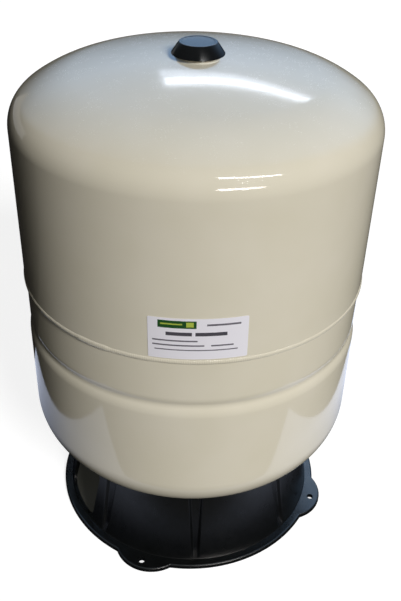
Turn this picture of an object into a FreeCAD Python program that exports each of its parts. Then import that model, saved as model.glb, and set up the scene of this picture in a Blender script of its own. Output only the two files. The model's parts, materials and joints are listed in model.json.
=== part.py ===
import FreeCAD, Part
import math
import os

# Water storage tank of a water purifier. Millimetres, +Z up.
# The origin is under the middle of the stand, on the tank's axis.
# The label faces -Y.

V = FreeCAD.Vector
AXIS = V(0, 0, 1)
HALF_TURN = 180.0
FULL_TURN = 360.0
HEX_CHAMFER_SHARE = 0.6

# Steel tank
TANK_RADIUS = 177.8
SHELL_WALL = 1.5
SEAM_Z = 316.8
DOME_WALL_Z = 475.0
DOME_KNUCKLE = 32.2
DOME_HAUNCH = 128.6
DOME_KNUCKLE_ANGLE = 55.0
DOME_HAUNCH_ANGLE = 78.7
BOTTOM_WALL_Z = 158.0
BOTTOM_KNUCKLE = 48.2
BOTTOM_HAUNCH = 140.0
BOTTOM_KNUCKLE_ANGLE = 60.0
BOTTOM_HAUNCH_ANGLE = 79.0

# Lap joint and crease below it
LAP_GAP = 0.1
LAP_LENGTH = 15.0
CREASE_Z = 262.3
CREASE_DEPTH = 3.1
CREASE_RISE = 10.0
CREASE_SHOULDER = 14.0
CREASE_FLOOR_SHARE = 0.3

# Weld bead round the lap, with one overlap where it starts and stops
BEAD_HEIGHT = 5.6
BEAD_PROUD = 1.0
BEAD_EDGE_LAP = 2.0
OVERLAP_AZIMUTH = -122.5
OVERLAP_ANGLE = 12.0
OVERLAP_SWELL = 0.7

# Rubber diaphragm, plastic liner and the hoop that clamps them
SKIN_GAP = 0.2
SEAT_GAP = 0.05
LINER_WALL = 2.0
DIAPHRAGM_WALL = 2.4
RIM_RISE = 22.3
RIM_JOG = 7.0
RIM_BEAD_HEIGHT = 3.6
HOOP_WALL = 1.6
HOOP_LIP = 2.6

# Air boss on the dome
BOSS_RISE = 3.0
BOSS_FLANGE_WIDTH = 6.5
BOSS_SPIGOT_WALL = 4.6
BOSS_SPIGOT_DEPTH = 9.0
BOSS_HOLE_GAP = 0.1
BOSS_NECK_WALL = 5.0
BOSS_NECK_HEIGHT = 5.6
BOSS_WELL_GAP = 1.5
BOSS_WELL_FLOOR = 0.6
BOSS_CHAMFER = 0.6
BOSS_WELD_LEG = 1.1
BOSS_WELD_ROOT = 1.0
BOSS_WELD_SAG = 0.42

# Air cap
CAP_OVERHANG = 4.5
CAP_TAPER = 6.8
CAP_HEIGHT = 10.9
CAP_LIP = 0.6
CAP_TOP_ROUND = 1.3
CAP_ROOF = 2.6
CAP_DISH = 0.5
CAP_RIM = 1.4
CAP_BORE_CHAMFER = 1.0
CAP_THREAD_GAP = 0.3
CAP_SEAL_GAP = 0.3
CAP_SEAL_WIDTH = 4.2
CAP_SEAL_DEPTH = 1.5
CAP_SEAL_PROUD = 0.2

# Air valve stem and its seal
STEM_RADIUS = 3.85
STEM_ROOF_GAP = 1.1
STEM_HEX = 13.0
STEM_HEX_HEIGHT = 2.6
STEM_ROOT_RADIUS = 4.9
STEM_ROOT_LENGTH = 11.0
STEM_CHAMFER = 0.5
THREAD_GAP = 0.05
STEM_SEAL_SECTION = 1.4
STEM_SEAL_GROOVE = 1.0

# Valve core
CORE_HEAD_RADIUS = 2.55
CORE_HEAD_LENGTH = 3.6
CORE_INSET = 0.8
CORE_BARREL_RADIUS = 1.9
CORE_BARREL_LENGTH = 9.0
CORE_BORE_RADIUS = 1.35
CORE_FLOOR = 2.0
CORE_SLOT_WIDTH = 0.9
CORE_SLOT_DEPTH = 0.9
COLLAR_HEIGHT = 1.6
COLLAR_DROP = 0.8
COLLAR_RADIUS = 2.3
PIN_RADIUS = 0.6
PIN_RUNNING_GAP = 0.08
PIN_TOP_INSET = 0.3
PIN_TAIL = 1.6
PIN_COLLAR_RADIUS = 1.1
PIN_COLLAR_HEIGHT = 0.4
SEAT_RADIUS = 1.65
SEAT_SEAL_HEIGHT = 1.0
SEAT_CUP_HEIGHT = 0.7
SPRING_WIRE = 0.26
SPRING_TURNS = 5

# Water port through the bottom of the tank
PORT_FLANGE_RADIUS = 20.0
PORT_FLANGE_HEIGHT = 3.0
PORT_SEAL_HEIGHT = 1.4
PORT_SEAL_INNER = 12.0
PORT_SEAL_OUTER = 17.0
PORT_BODY_RADIUS = 10.0
PORT_HOLE_GAP = 0.3
PORT_THREAD_RADIUS = 6.6
PORT_THREAD_LENGTH = 15.0
PORT_BORE_RADIUS = 4.0
PORT_CHAMFER = 0.8
PORT_TAIL = 3.0
WASHER_RADIUS = 17.5
WASHER_HEIGHT = 2.0
PORT_NUT_HEX = 27.0
PORT_NUT_HEIGHT = 7.0

# Stand, turned from the label by the angle seen in the photo
STAND_TURN = 24.4
FOOT_WIDTH = 8.4
FOOT_HEIGHT = 5.5
FOOT_ROUND = 2.4
STAND_WALL = 3.6
STAND_FOOT_RADIUS = 149.2
STAND_TOP_RADIUS = 127.5
SEAT_LIP_WIDTH = 13.0
SEAT_LIP_HEIGHT = 4.0
LUG_COUNT = 4
LUG_HOLE_REACH = 9.9
LUG_EDGE = 10.5
LUG_RADIUS = 42.0
LUG_HOLE_RADIUS = 3.7
FLUTE_COUNT = 8
FLUTE_TOP_WIDTH = 18.5
FLUTE_FOOT_WIDTH = 9.0
FLUTE_DEPTH = 3.8
FLUTE_FLANK = 3.5
FLUTE_REACH = 4.0
FLUTE_OVERRUN = 1.0
FLUTE_BACK_DROP = 0.5
WINDOW_WIDTH = 67.0
WINDOW_SILL_Z = 7.5
WINDOW_TOP_Z = 82.0
WINDOW_ROUND = 18.0
WINDOW_SILL_ROUND = 13.0
WINDOW_REACH = 10.0

# Studs, toe clips and nuts that hold the stand to the tank
STUD_INSET = 21.5
STUD_RADIUS = 3.0
STUD_LENGTH = 15.0
STUD_FOOT_RADIUS = 4.6
STUD_FOOT_HEIGHT = 0.8
WELD_DEPTH = 2.0
CLIP_WALL = 2.0
CLIP_WIDTH = 22.0
CLIP_TOE_GAP = 1.5
CLIP_HEEL = 14.0
NUT_HEX = 10.0
NUT_HEIGHT = 6.0
NUT_FLANGE_RADIUS = 7.0
NUT_FLANGE_HEIGHT = 1.2
BOLT_GAP = 0.3

# Label
LABEL_WIDTH = 89.0
LABEL_HEIGHT = 44.0
LABEL_ABOVE_SEAM = 4.0
LABEL_THICKNESS = 0.2
LABEL_GLUE = 0.15


def flat(points):
    """A closed face in the XZ plane. Each entry is (r, z), or (r, z, through_r, through_z) for an arc."""
    edges = []
    here = V(points[-1][0], 0, points[-1][1])
    for point in points:
        there = V(point[0], 0, point[1])
        if here.distanceToPoint(there) < 1e-6:
            continue
        if len(point) == 4:
            edges.append(Part.Arc(here, V(point[2], 0, point[3]), there).toShape())
        else:
            edges.append(Part.LineSegment(here, there).toShape())
        here = there
    return Part.Face(Part.Wire(edges))


def turned(points, angle=FULL_TURN):
    """The solid that a closed outline sweeps round the tank's axis."""
    return flat(points).revolve(V(0, 0, 0), AXIS, angle)


def ring(inner, outer, low, high):
    return turned([(inner, low), (outer, low), (outer, high), (inner, high)])


def backwards(points):
    """The same path, walked from its end to its start."""
    arcs = [point[2:] for point in points[1:]] + [()]
    return [point[:2] + arc for point, arc in zip(reversed(points), reversed(arcs))]


def turned_about_axis(shape, angle):
    copy = shape.copy()
    copy.rotate(V(0, 0, 0), AXIS, angle)
    return copy


def around(shape, count, first_angle):
    """Copies of a shape spaced evenly round the axis."""
    return [turned_about_axis(shape, first_angle + FULL_TURN * k / count) for k in range(count)]


def hexagon(across_flats, low, height, hole_radius, chamfered_end):
    """A hexagon nut with chamfered corners on one end or both."""
    corner = across_flats / math.sqrt(3)
    corners = [V(corner * math.cos(math.radians(60 * k)), corner * math.sin(math.radians(60 * k)), low)
               for k in range(7)]
    body = Part.Face(Part.makePolygon(corners)).extrude(V(0, 0, height))
    cut = (corner - across_flats / 2) * HEX_CHAMFER_SHARE
    bottom = cut if chamfered_end in ("low", "both") else 0
    top = cut if chamfered_end in ("high", "both") else 0
    rounded = turned([
        (0, low), (corner - 2 * bottom, low), (corner, low + bottom),
        (corner, low + height - top), (corner - 2 * top, low + height), (0, low + height)])
    body = body.common(rounded)
    return body.cut(Part.makeCylinder(hole_radius, height, V(0, 0, low)))


class Head:
    """A drawn head: knuckle, haunch and crown arcs, tangent to each other, that end on the axis."""

    def __init__(self, wall_z, sense, knuckle, haunch, knuckle_end, haunch_end):
        self.sense = sense
        self.wall_z = wall_z
        first = math.radians(knuckle_end)
        second = math.radians(haunch_end)
        haunch_r = TANK_RADIUS - knuckle - (haunch - knuckle) * math.cos(first)
        haunch_z = -(haunch - knuckle) * math.sin(first)
        crown = haunch + haunch_r / math.cos(second)
        crown_z = haunch_z - (crown - haunch) * math.sin(second)
        self.arcs = [
            (TANK_RADIUS - knuckle, 0.0, knuckle, 0.0, first),
            (haunch_r, haunch_z, haunch, first, second),
            (0.0, crown_z, crown, second, math.pi / 2)]

    def spot(self, arc, angle, inset):
        centre_r, centre_z, radius = arc[:3]
        r = centre_r + (radius - inset) * math.cos(angle)
        z = centre_z + (radius - inset) * math.sin(angle)
        return r, self.wall_z + self.sense * z

    def path(self, inset, hole=0.0):
        """Points from the side wall in to a hole's edge or to the axis, on a skin set in by inset."""
        points = [self.spot(self.arcs[0], 0.0, inset)]
        for arc in self.arcs:
            end = arc[4]
            if arc is self.arcs[2]:
                end = math.acos(hole / (arc[2] - inset))
            goal = self.spot(arc, end, inset)
            points.append(goal + self.spot(arc, (arc[3] + end) / 2, inset))
        return points

    def height(self, r, inset=0.0):
        """Level of the skin at a radius, and how far it leans there in degrees."""
        for arc in self.arcs:
            cosine = (r - arc[0]) / (arc[2] - inset)
            if -1 < cosine < 1 and arc[3] - 1e-9 <= math.acos(cosine) <= arc[4] + 1e-9:
                angle = math.acos(cosine)
                return self.spot(arc, angle, inset)[1], math.degrees(math.pi / 2 - angle)
        raise ValueError("no skin at this radius")

    def solid(self, reach):
        """Everything inside the outer skin, out to a level beyond the side wall."""
        far = self.wall_z - self.sense * reach
        return turned([(0, far), (TANK_RADIUS, far)] + self.path(0.0))


DOME = Head(DOME_WALL_Z, 1, DOME_KNUCKLE, DOME_HAUNCH, DOME_KNUCKLE_ANGLE, DOME_HAUNCH_ANGLE)
BOTTOM = Head(BOTTOM_WALL_Z, -1, BOTTOM_KNUCKLE, BOTTOM_HAUNCH, BOTTOM_KNUCKLE_ANGLE, BOTTOM_HAUNCH_ANGLE)
DOME_TOP_Z = DOME.height(0)[0]
BOTTOM_Z = BOTTOM.height(0)[0]

# Levels and radii worked out from the sizes above
UPPER_EDGE_Z = SEAM_Z - BEAD_EDGE_LAP / 2
NECK_RADIUS = TANK_RADIUS - SHELL_WALL - LAP_GAP
NECK_TOP_Z = UPPER_EDGE_Z + LAP_LENGTH
LINER_INSET = SHELL_WALL + SKIN_GAP
DIAPHRAGM_INSET = LINER_INSET + LINER_WALL + SKIN_GAP
RIM_TOP_Z = CREASE_Z + RIM_RISE
RIM_RADIUS = TANK_RADIUS - CREASE_DEPTH - SHELL_WALL - SKIN_GAP
DIAPHRAGM_RIM_RADIUS = RIM_RADIUS - LINER_WALL - SKIN_GAP
HOOP_RADIUS = DIAPHRAGM_RIM_RADIUS - DIAPHRAGM_WALL - SKIN_GAP
JOG_TOP_Z = CREASE_Z - CREASE_SHOULDER / 2
JOG_FOOT_Z = JOG_TOP_Z - RIM_JOG
PORT_SEAT_Z = BOTTOM.height(PORT_SEAL_OUTER, LINER_INSET + LINER_WALL)[0] + SEAT_GAP
PORT_FLANGE_Z = PORT_SEAT_Z + PORT_SEAL_HEIGHT
BOSS_WELL_RADIUS = STEM_HEX / math.sqrt(3) + BOSS_WELL_GAP
BOSS_NECK_RADIUS = BOSS_WELL_RADIUS + BOSS_NECK_WALL
BOSS_RADIUS = BOSS_NECK_RADIUS + BOSS_FLANGE_WIDTH
BOSS_SPIGOT_RADIUS = STEM_ROOT_RADIUS + BOSS_SPIGOT_WALL
BOSS_TOP_Z = DOME_TOP_Z + BOSS_RISE
NECK_END_Z = BOSS_TOP_Z + BOSS_NECK_HEIGHT
WELL_FLOOR_Z = DOME_TOP_Z + BOSS_WELL_FLOOR
CAP_FOOT_Z = BOSS_TOP_Z + CAP_SEAL_PROUD
CAP_TOP_Z = CAP_FOOT_Z + CAP_HEIGHT
CAP_ROOF_Z = CAP_TOP_Z - CAP_ROOF
CAP_BASE_RADIUS = BOSS_RADIUS + CAP_OVERHANG
CAP_TOP_RADIUS = CAP_BASE_RADIUS - CAP_TAPER
CAP_BORE_RADIUS = BOSS_NECK_RADIUS + CAP_THREAD_GAP
CAP_RECESS_RADIUS = CAP_BORE_RADIUS + CAP_SEAL_GAP + CAP_SEAL_WIDTH + CAP_SEAL_GAP
STEM_TOP_Z = CAP_ROOF_Z - STEM_ROOF_GAP
CORE_TOP_Z = STEM_TOP_Z - CORE_INSET
BARREL_TOP_Z = CORE_TOP_Z - CORE_HEAD_LENGTH
BARREL_END_Z = BARREL_TOP_Z - CORE_BARREL_LENGTH
SPRING_FLOOR_Z = BARREL_END_Z + CORE_FLOOR
PIN_TOP_Z = STEM_TOP_Z - PIN_TOP_INSET
PIN_COLLAR_Z = CORE_TOP_Z - CORE_SLOT_DEPTH - PIN_COLLAR_HEIGHT
SEAT_FOOT_Z = BARREL_END_Z - SEAT_SEAL_HEIGHT
FOOT_RADIUS = STAND_FOOT_RADIUS + FOOT_WIDTH
LUG_PITCH_RADIUS = STAND_FOOT_RADIUS + LUG_HOLE_REACH
LUG_CENTRE_RADIUS = LUG_PITCH_RADIUS + LUG_EDGE - LUG_RADIUS
STUD_SEAT_RADIUS = STAND_TOP_RADIUS - STUD_INSET
CLIP_TOE = STUD_INSET - STAND_WALL - CLIP_TOE_GAP


def upper_shell():
    hole = BOSS_SPIGOT_RADIUS + BOSS_HOLE_GAP
    outer = [(TANK_RADIUS, UPPER_EDGE_Z)] + DOME.path(0.0, hole)
    inner = backwards(DOME.path(SHELL_WALL, hole)) + [(TANK_RADIUS - SHELL_WALL, UPPER_EDGE_Z)]
    return turned(outer + inner)


def along(start, end, share):
    return start[0] + (end[0] - start[0]) * share, start[1] + (end[1] - start[1]) * share


def upright_arc(start, end):
    """The middle of the arc that leaves one point upright and meets another."""
    across = end[0] - start[0]
    rise = end[1] - start[1]
    lean = math.atan2(abs(across), abs(rise))
    radius = (across * across + rise * rise) / (2 * abs(across))
    return (start[0] + math.copysign(radius * (1 - math.cos(lean)), across),
            start[1] + math.copysign(radius * math.sin(lean), rise))


def side_wall(inset):
    """The lower shell's skin from its neck down over the crease to where the head starts."""
    neck = (NECK_RADIUS - inset, CREASE_Z + CREASE_RISE)
    valley = (TANK_RADIUS - CREASE_DEPTH - inset, CREASE_Z)
    foot = (TANK_RADIUS - inset, CREASE_Z - CREASE_SHOULDER)
    upper = along(valley, neck, CREASE_FLOOR_SHARE)
    lower = along(valley, foot, CREASE_FLOOR_SHARE)
    return [
        (neck[0], NECK_TOP_Z), neck,
        upper + upright_arc(neck, upper), valley + upright_arc(valley, upper),
        lower + upright_arc(valley, lower), foot + upright_arc(foot, lower)]


def lower_shell():
    hole = PORT_BODY_RADIUS + PORT_HOLE_GAP
    outer = side_wall(0.0) + BOTTOM.path(0.0, hole)
    inner = side_wall(SHELL_WALL) + BOTTOM.path(SHELL_WALL, hole)
    return turned(outer + backwards(inner))


def bead(swell, angle):
    """The fillet weld that fills the corner between the upper shell's edge and the neck."""
    low = SEAM_Z - BEAD_HEIGHT / 2 - swell
    high = SEAM_Z + BEAD_HEIGHT / 2 + swell
    crest = TANK_RADIUS + BEAD_PROUD + swell / 2
    return turned([
        (NECK_RADIUS, UPPER_EDGE_Z), (NECK_RADIUS, low),
        (TANK_RADIUS, high, crest, SEAM_Z), (TANK_RADIUS, UPPER_EDGE_Z)], angle)


def seam_weld():
    overlap = turned_about_axis(bead(OVERLAP_SWELL, OVERLAP_ANGLE), OVERLAP_AZIMUTH - OVERLAP_ANGLE / 2)
    return bead(0.0, FULL_TURN).fuse(overlap).removeSplitter()


def water_liner():
    def skin(inset, rim):
        return [(rim, RIM_TOP_Z), (rim, JOG_TOP_Z), (TANK_RADIUS - inset, JOG_FOOT_Z)] + \
            BOTTOM.path(inset, PORT_BODY_RADIUS + PORT_HOLE_GAP)
    outer = skin(LINER_INSET, RIM_RADIUS)
    inner = skin(LINER_INSET + LINER_WALL, RIM_RADIUS - LINER_WALL)
    return turned(outer + backwards(inner))


def diaphragm():
    """A deep rubber cup that lies on the liner, raised over the port's flange, with a bead on its rim."""
    dome_z = PORT_FLANGE_Z + PORT_FLANGE_HEIGHT + SKIN_GAP
    dome_r = PORT_FLANGE_RADIUS + PORT_FLANGE_HEIGHT

    def skin(inset, rim, level, radius):
        return [(rim, JOG_TOP_Z), (TANK_RADIUS - inset, JOG_FOOT_Z)] + \
            BOTTOM.path(inset, radius + PORT_FLANGE_HEIGHT) + [(radius, level), (0, level)]
    outer = skin(DIAPHRAGM_INSET, DIAPHRAGM_RIM_RADIUS, dome_z, dome_r)
    inner = skin(DIAPHRAGM_INSET + DIAPHRAGM_WALL, DIAPHRAGM_RIM_RADIUS - DIAPHRAGM_WALL,
                 dome_z + DIAPHRAGM_WALL, dome_r)
    rim_foot = RIM_TOP_Z + SKIN_GAP
    rim_top = rim_foot + RIM_BEAD_HEIGHT
    rim = [
        (DIAPHRAGM_RIM_RADIUS - DIAPHRAGM_WALL, rim_top), (RIM_RADIUS - RIM_BEAD_HEIGHT / 2, rim_top),
        (RIM_RADIUS - RIM_BEAD_HEIGHT / 2, rim_foot, RIM_RADIUS, (rim_foot + rim_top) / 2),
        (DIAPHRAGM_RIM_RADIUS, rim_foot)]
    return turned(rim + outer + backwards(inner))


def clench_ring():
    """A steel hoop of channel section that presses the rims of diaphragm and liner into the crease."""
    low = JOG_TOP_Z
    high = RIM_TOP_Z
    inner = HOOP_RADIUS - HOOP_WALL
    tip = inner - HOOP_LIP
    return turned([
        (tip, low), (HOOP_RADIUS, low), (HOOP_RADIUS, high), (tip, high),
        (tip, high - HOOP_WALL), (inner, high - HOOP_WALL), (inner, low + HOOP_WALL), (tip, low + HOOP_WALL)])


def air_boss():
    """A turned steel boss: flange on the dome, threaded neck above, spigot through the dome's hole."""
    root = DOME_TOP_Z - BOSS_SPIGOT_DEPTH
    body = turned([
        (0, root), (BOSS_SPIGOT_RADIUS - BOSS_CHAMFER, root), (BOSS_SPIGOT_RADIUS, root + BOSS_CHAMFER),
        (BOSS_SPIGOT_RADIUS, DOME_TOP_Z - SHELL_WALL), (BOSS_RADIUS, DOME_TOP_Z - SHELL_WALL),
        (BOSS_RADIUS, BOSS_TOP_Z - BOSS_CHAMFER), (BOSS_RADIUS - BOSS_CHAMFER, BOSS_TOP_Z),
        (BOSS_NECK_RADIUS, BOSS_TOP_Z), (BOSS_NECK_RADIUS, NECK_END_Z - BOSS_CHAMFER),
        (BOSS_NECK_RADIUS - BOSS_CHAMFER, NECK_END_Z), (0, NECK_END_Z)])
    shell = DOME.solid(0.0).cut(Part.makeCylinder(BOSS_SPIGOT_RADIUS + BOSS_HOLE_GAP, DOME_TOP_Z))
    body = body.cut(shell)
    well = Part.makeCylinder(BOSS_WELL_RADIUS, BOSS_TOP_Z, V(0, 0, WELL_FLOOR_Z))
    bore = Part.makeCylinder(STEM_ROOT_RADIUS + THREAD_GAP, BOSS_TOP_Z, V(0, 0, root))
    groove_inner = STEM_ROOT_RADIUS + STEM_SEAL_GROOVE / 2
    groove = ring(groove_inner, groove_inner + STEM_SEAL_SECTION,
                  WELL_FLOOR_Z - STEM_SEAL_GROOVE, WELL_FLOOR_Z)
    return body.cut(well).cut(bore).cut(groove)


def boss_weld():
    """The small fillet weld round the boss's foot."""
    foot = DOME.height(BOSS_RADIUS + BOSS_WELD_LEG)[0]
    sag = BOSS_WELD_LEG * BOSS_WELD_SAG
    wedge = turned([
        (BOSS_RADIUS, foot - BOSS_WELD_ROOT), (BOSS_RADIUS + BOSS_WELD_LEG, foot - BOSS_WELD_ROOT),
        (BOSS_RADIUS + BOSS_WELD_LEG, foot),
        (BOSS_RADIUS, foot + BOSS_WELD_LEG, BOSS_RADIUS + sag, foot + sag)])
    return wedge.cut(DOME.solid(0.0))


def stem_seal():
    """An O-ring squeezed flat between the groove's floor and the stem's hexagon."""
    inner = STEM_ROOT_RADIUS + STEM_SEAL_GROOVE / 2
    middle = inner + STEM_SEAL_SECTION / 2
    quarter = STEM_SEAL_SECTION / 4
    low = WELL_FLOOR_Z - STEM_SEAL_GROOVE
    half = (low + WELL_FLOOR_Z) / 2
    return turned([
        (middle - quarter, WELL_FLOOR_Z), (middle - quarter, low, inner, half),
        (middle + quarter, low), (middle + quarter, WELL_FLOOR_Z, inner + STEM_SEAL_SECTION, half)])


def valve_stem():
    """The brass stem that a pump's chuck pushes onto, with the bore that the valve core screws into."""
    root = WELL_FLOOR_Z - STEM_ROOT_LENGTH
    body = turned([
        (0, root), (STEM_ROOT_RADIUS - STEM_CHAMFER, root), (STEM_ROOT_RADIUS, root + STEM_CHAMFER),
        (STEM_ROOT_RADIUS, WELL_FLOOR_Z), (STEM_RADIUS, WELL_FLOOR_Z + STEM_HEX_HEIGHT),
        (STEM_RADIUS, STEM_TOP_Z - STEM_CHAMFER), (STEM_RADIUS - STEM_CHAMFER, STEM_TOP_Z), (0, STEM_TOP_Z)])
    body = body.fuse(hexagon(STEM_HEX, WELL_FLOOR_Z, STEM_HEX_HEIGHT, COLLAR_RADIUS, "high"))
    head_bore = CORE_HEAD_RADIUS + THREAD_GAP
    bore = turned([
        (0, root), (COLLAR_RADIUS, root), (COLLAR_RADIUS, BARREL_TOP_Z - COLLAR_DROP),
        (head_bore, BARREL_TOP_Z), (head_bore, STEM_TOP_Z), (0, STEM_TOP_Z)])
    return body.cut(bore)


def core_body():
    """The screwed core: slotted head, barrel for the spring and a thin floor that the pin slides in."""
    body = turned([
        (0, BARREL_END_Z), (CORE_BARREL_RADIUS, BARREL_END_Z), (CORE_BARREL_RADIUS, BARREL_TOP_Z),
        (CORE_HEAD_RADIUS, BARREL_TOP_Z + CORE_HEAD_RADIUS - CORE_BARREL_RADIUS),
        (CORE_HEAD_RADIUS, CORE_TOP_Z), (0, CORE_TOP_Z)])
    bore = turned([
        (0, BARREL_END_Z), (PIN_RADIUS + PIN_RUNNING_GAP, BARREL_END_Z),
        (PIN_RADIUS + PIN_RUNNING_GAP, SPRING_FLOOR_Z), (CORE_BORE_RADIUS, SPRING_FLOOR_Z),
        (CORE_BORE_RADIUS, CORE_TOP_Z), (0, CORE_TOP_Z)])
    slot = Part.makeBox(
        4 * CORE_HEAD_RADIUS, CORE_SLOT_WIDTH, CORE_SLOT_DEPTH,
        V(-2 * CORE_HEAD_RADIUS, -CORE_SLOT_WIDTH / 2, CORE_TOP_Z - CORE_SLOT_DEPTH))
    return body.cut(bore).cut(slot)


def core_collar_seal():
    high = BARREL_TOP_Z - COLLAR_DROP
    return ring(CORE_BARREL_RADIUS, COLLAR_RADIUS, high - COLLAR_HEIGHT, high)


def core_pin():
    """The pin: button end, spring collar, and a cup that carries the seat seal."""
    foot = SEAT_FOOT_Z - SEAT_CUP_HEIGHT
    return turned([
        (0, foot - PIN_TAIL), (PIN_RADIUS, foot - PIN_TAIL), (PIN_RADIUS, foot), (SEAT_RADIUS, foot),
        (SEAT_RADIUS, SEAT_FOOT_Z), (PIN_RADIUS, SEAT_FOOT_Z), (PIN_RADIUS, PIN_COLLAR_Z),
        (PIN_COLLAR_RADIUS, PIN_COLLAR_Z), (PIN_COLLAR_RADIUS, PIN_COLLAR_Z + PIN_COLLAR_HEIGHT),
        (PIN_RADIUS, PIN_COLLAR_Z + PIN_COLLAR_HEIGHT), (PIN_RADIUS, PIN_TOP_Z), (0, PIN_TOP_Z)])


def core_seat_seal():
    return ring(PIN_RADIUS, SEAT_RADIUS, SEAT_FOOT_Z, BARREL_END_Z)


def core_spring():
    """A coil spring between the barrel's floor and the pin's collar."""
    wire = SPRING_WIRE / 2
    coil = (CORE_BORE_RADIUS + PIN_RADIUS) / 2
    height = PIN_COLLAR_Z - SPRING_FLOOR_Z - 2 * wire
    helix = Part.makeHelix(height / SPRING_TURNS, height, coil)
    section = Part.Wire(Part.Circle(V(coil, 0, 0), V(0, 1, 0), wire).toShape())
    coiled = Part.Wire(helix.Edges).makePipeShell([section], True, True)
    coiled.translate(V(0, 0, SPRING_FLOOR_Z + wire))
    return coiled


def cap_seal():
    outer = CAP_RECESS_RADIUS - CAP_SEAL_GAP
    return ring(outer - CAP_SEAL_WIDTH, outer, BOSS_TOP_Z, CAP_FOOT_Z + CAP_SEAL_DEPTH)


def air_cap():
    """A conical screw cap with a rolled top edge, a shallow dish, a threaded bore and a seal recess."""
    rim_r = CAP_TOP_RADIUS - CAP_TOP_ROUND
    round_z = CAP_TOP_Z - CAP_TOP_ROUND
    corner = math.sqrt(0.5) * CAP_TOP_ROUND
    outside = turned([
        (0, CAP_FOOT_Z), (CAP_BASE_RADIUS, CAP_FOOT_Z), (CAP_BASE_RADIUS, CAP_FOOT_Z + CAP_LIP),
        (CAP_TOP_RADIUS, round_z), (rim_r, CAP_TOP_Z, rim_r + corner, round_z + corner),
        (rim_r - CAP_RIM, CAP_TOP_Z), (rim_r - CAP_RIM - CAP_DISH, CAP_TOP_Z - CAP_DISH),
        (0, CAP_TOP_Z - CAP_DISH)])
    recess_z = CAP_FOOT_Z + CAP_SEAL_DEPTH
    inside = turned([
        (0, CAP_FOOT_Z), (CAP_RECESS_RADIUS, CAP_FOOT_Z), (CAP_RECESS_RADIUS, recess_z),
        (CAP_BORE_RADIUS, recess_z), (CAP_BORE_RADIUS, CAP_ROOF_Z - CAP_BORE_CHAMFER),
        (CAP_BORE_RADIUS - CAP_BORE_CHAMFER, CAP_ROOF_Z), (0, CAP_ROOF_Z)])
    return outside.cut(inside)


def water_port():
    """A stainless port: flange inside the liner, large thread for the lock nut, small thread for the pipe."""
    nut_end = BOTTOM_Z - WASHER_HEIGHT - PORT_NUT_HEIGHT - PORT_TAIL
    tip = nut_end - PORT_THREAD_LENGTH
    top = PORT_FLANGE_Z + PORT_FLANGE_HEIGHT
    body = turned([
        (0, tip), (PORT_THREAD_RADIUS - PORT_CHAMFER, tip), (PORT_THREAD_RADIUS, tip + PORT_CHAMFER),
        (PORT_THREAD_RADIUS, nut_end), (PORT_BODY_RADIUS - PORT_CHAMFER, nut_end),
        (PORT_BODY_RADIUS, nut_end + PORT_CHAMFER), (PORT_BODY_RADIUS, PORT_FLANGE_Z),
        (PORT_FLANGE_RADIUS, PORT_FLANGE_Z), (PORT_FLANGE_RADIUS, top - PORT_CHAMFER),
        (PORT_FLANGE_RADIUS - PORT_CHAMFER, top), (0, top)])
    return body.cut(Part.makeCylinder(PORT_BORE_RADIUS, top - tip, V(0, 0, tip)))


def port_seal():
    """A flat ring that lies on the liner, its underside on the liner's curve."""
    inset = LINER_INSET + LINER_WALL
    inner_z = BOTTOM.height(PORT_SEAL_INNER, inset)[0] + SEAT_GAP
    return turned([
        (PORT_SEAL_INNER, inner_z), (PORT_SEAL_OUTER, PORT_SEAT_Z), (PORT_SEAL_OUTER, PORT_FLANGE_Z),
        (PORT_SEAL_INNER, PORT_FLANGE_Z)])


def port_washer():
    low = BOTTOM_Z - WASHER_HEIGHT
    high = BOTTOM.height(WASHER_RADIUS)[0]
    return ring(PORT_BODY_RADIUS + THREAD_GAP, WASHER_RADIUS, low, high).cut(BOTTOM.solid(0.0))


def port_nut():
    low = BOTTOM_Z - WASHER_HEIGHT - PORT_NUT_HEIGHT
    return hexagon(PORT_NUT_HEX, low, PORT_NUT_HEIGHT, PORT_BODY_RADIUS + THREAD_GAP, "low")


def stand_radius(z):
    """Outer radius of the stand's tapered wall at a level."""
    top_z = BOTTOM.height(STAND_TOP_RADIUS)[0]
    return STAND_FOOT_RADIUS + (STAND_TOP_RADIUS - STAND_FOOT_RADIUS) * z / top_z


def flute(width_low, width_high, floor, outside, low, high):
    """A wedge that widens upwards, following the stand's wall, for one flute or for the wall behind it."""
    def section(z, width):
        near = stand_radius(z) - floor
        far = stand_radius(z) + outside
        spread = FLUTE_FLANK * (floor + outside) / FLUTE_DEPTH
        half = width / 2
        grown = half + FLUTE_FLANK * outside / FLUTE_DEPTH
        return Part.makePolygon([
            V(near, -(grown - spread), z), V(far, -grown, z), V(far, grown, z),
            V(near, grown - spread, z), V(near, -(grown - spread), z)])
    return Part.makeLoft([section(low, width_low), section(high, width_high)], True, True)


def under_lip(r):
    """Level of the seat lip's underside, which runs parallel to the head beside the studs."""
    level, lean = BOTTOM.height(STUD_SEAT_RADIUS)
    slope = math.radians(lean)
    return level + (r - STUD_SEAT_RADIUS) * math.tan(slope) - SEAT_LIP_HEIGHT / math.cos(slope)


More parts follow.
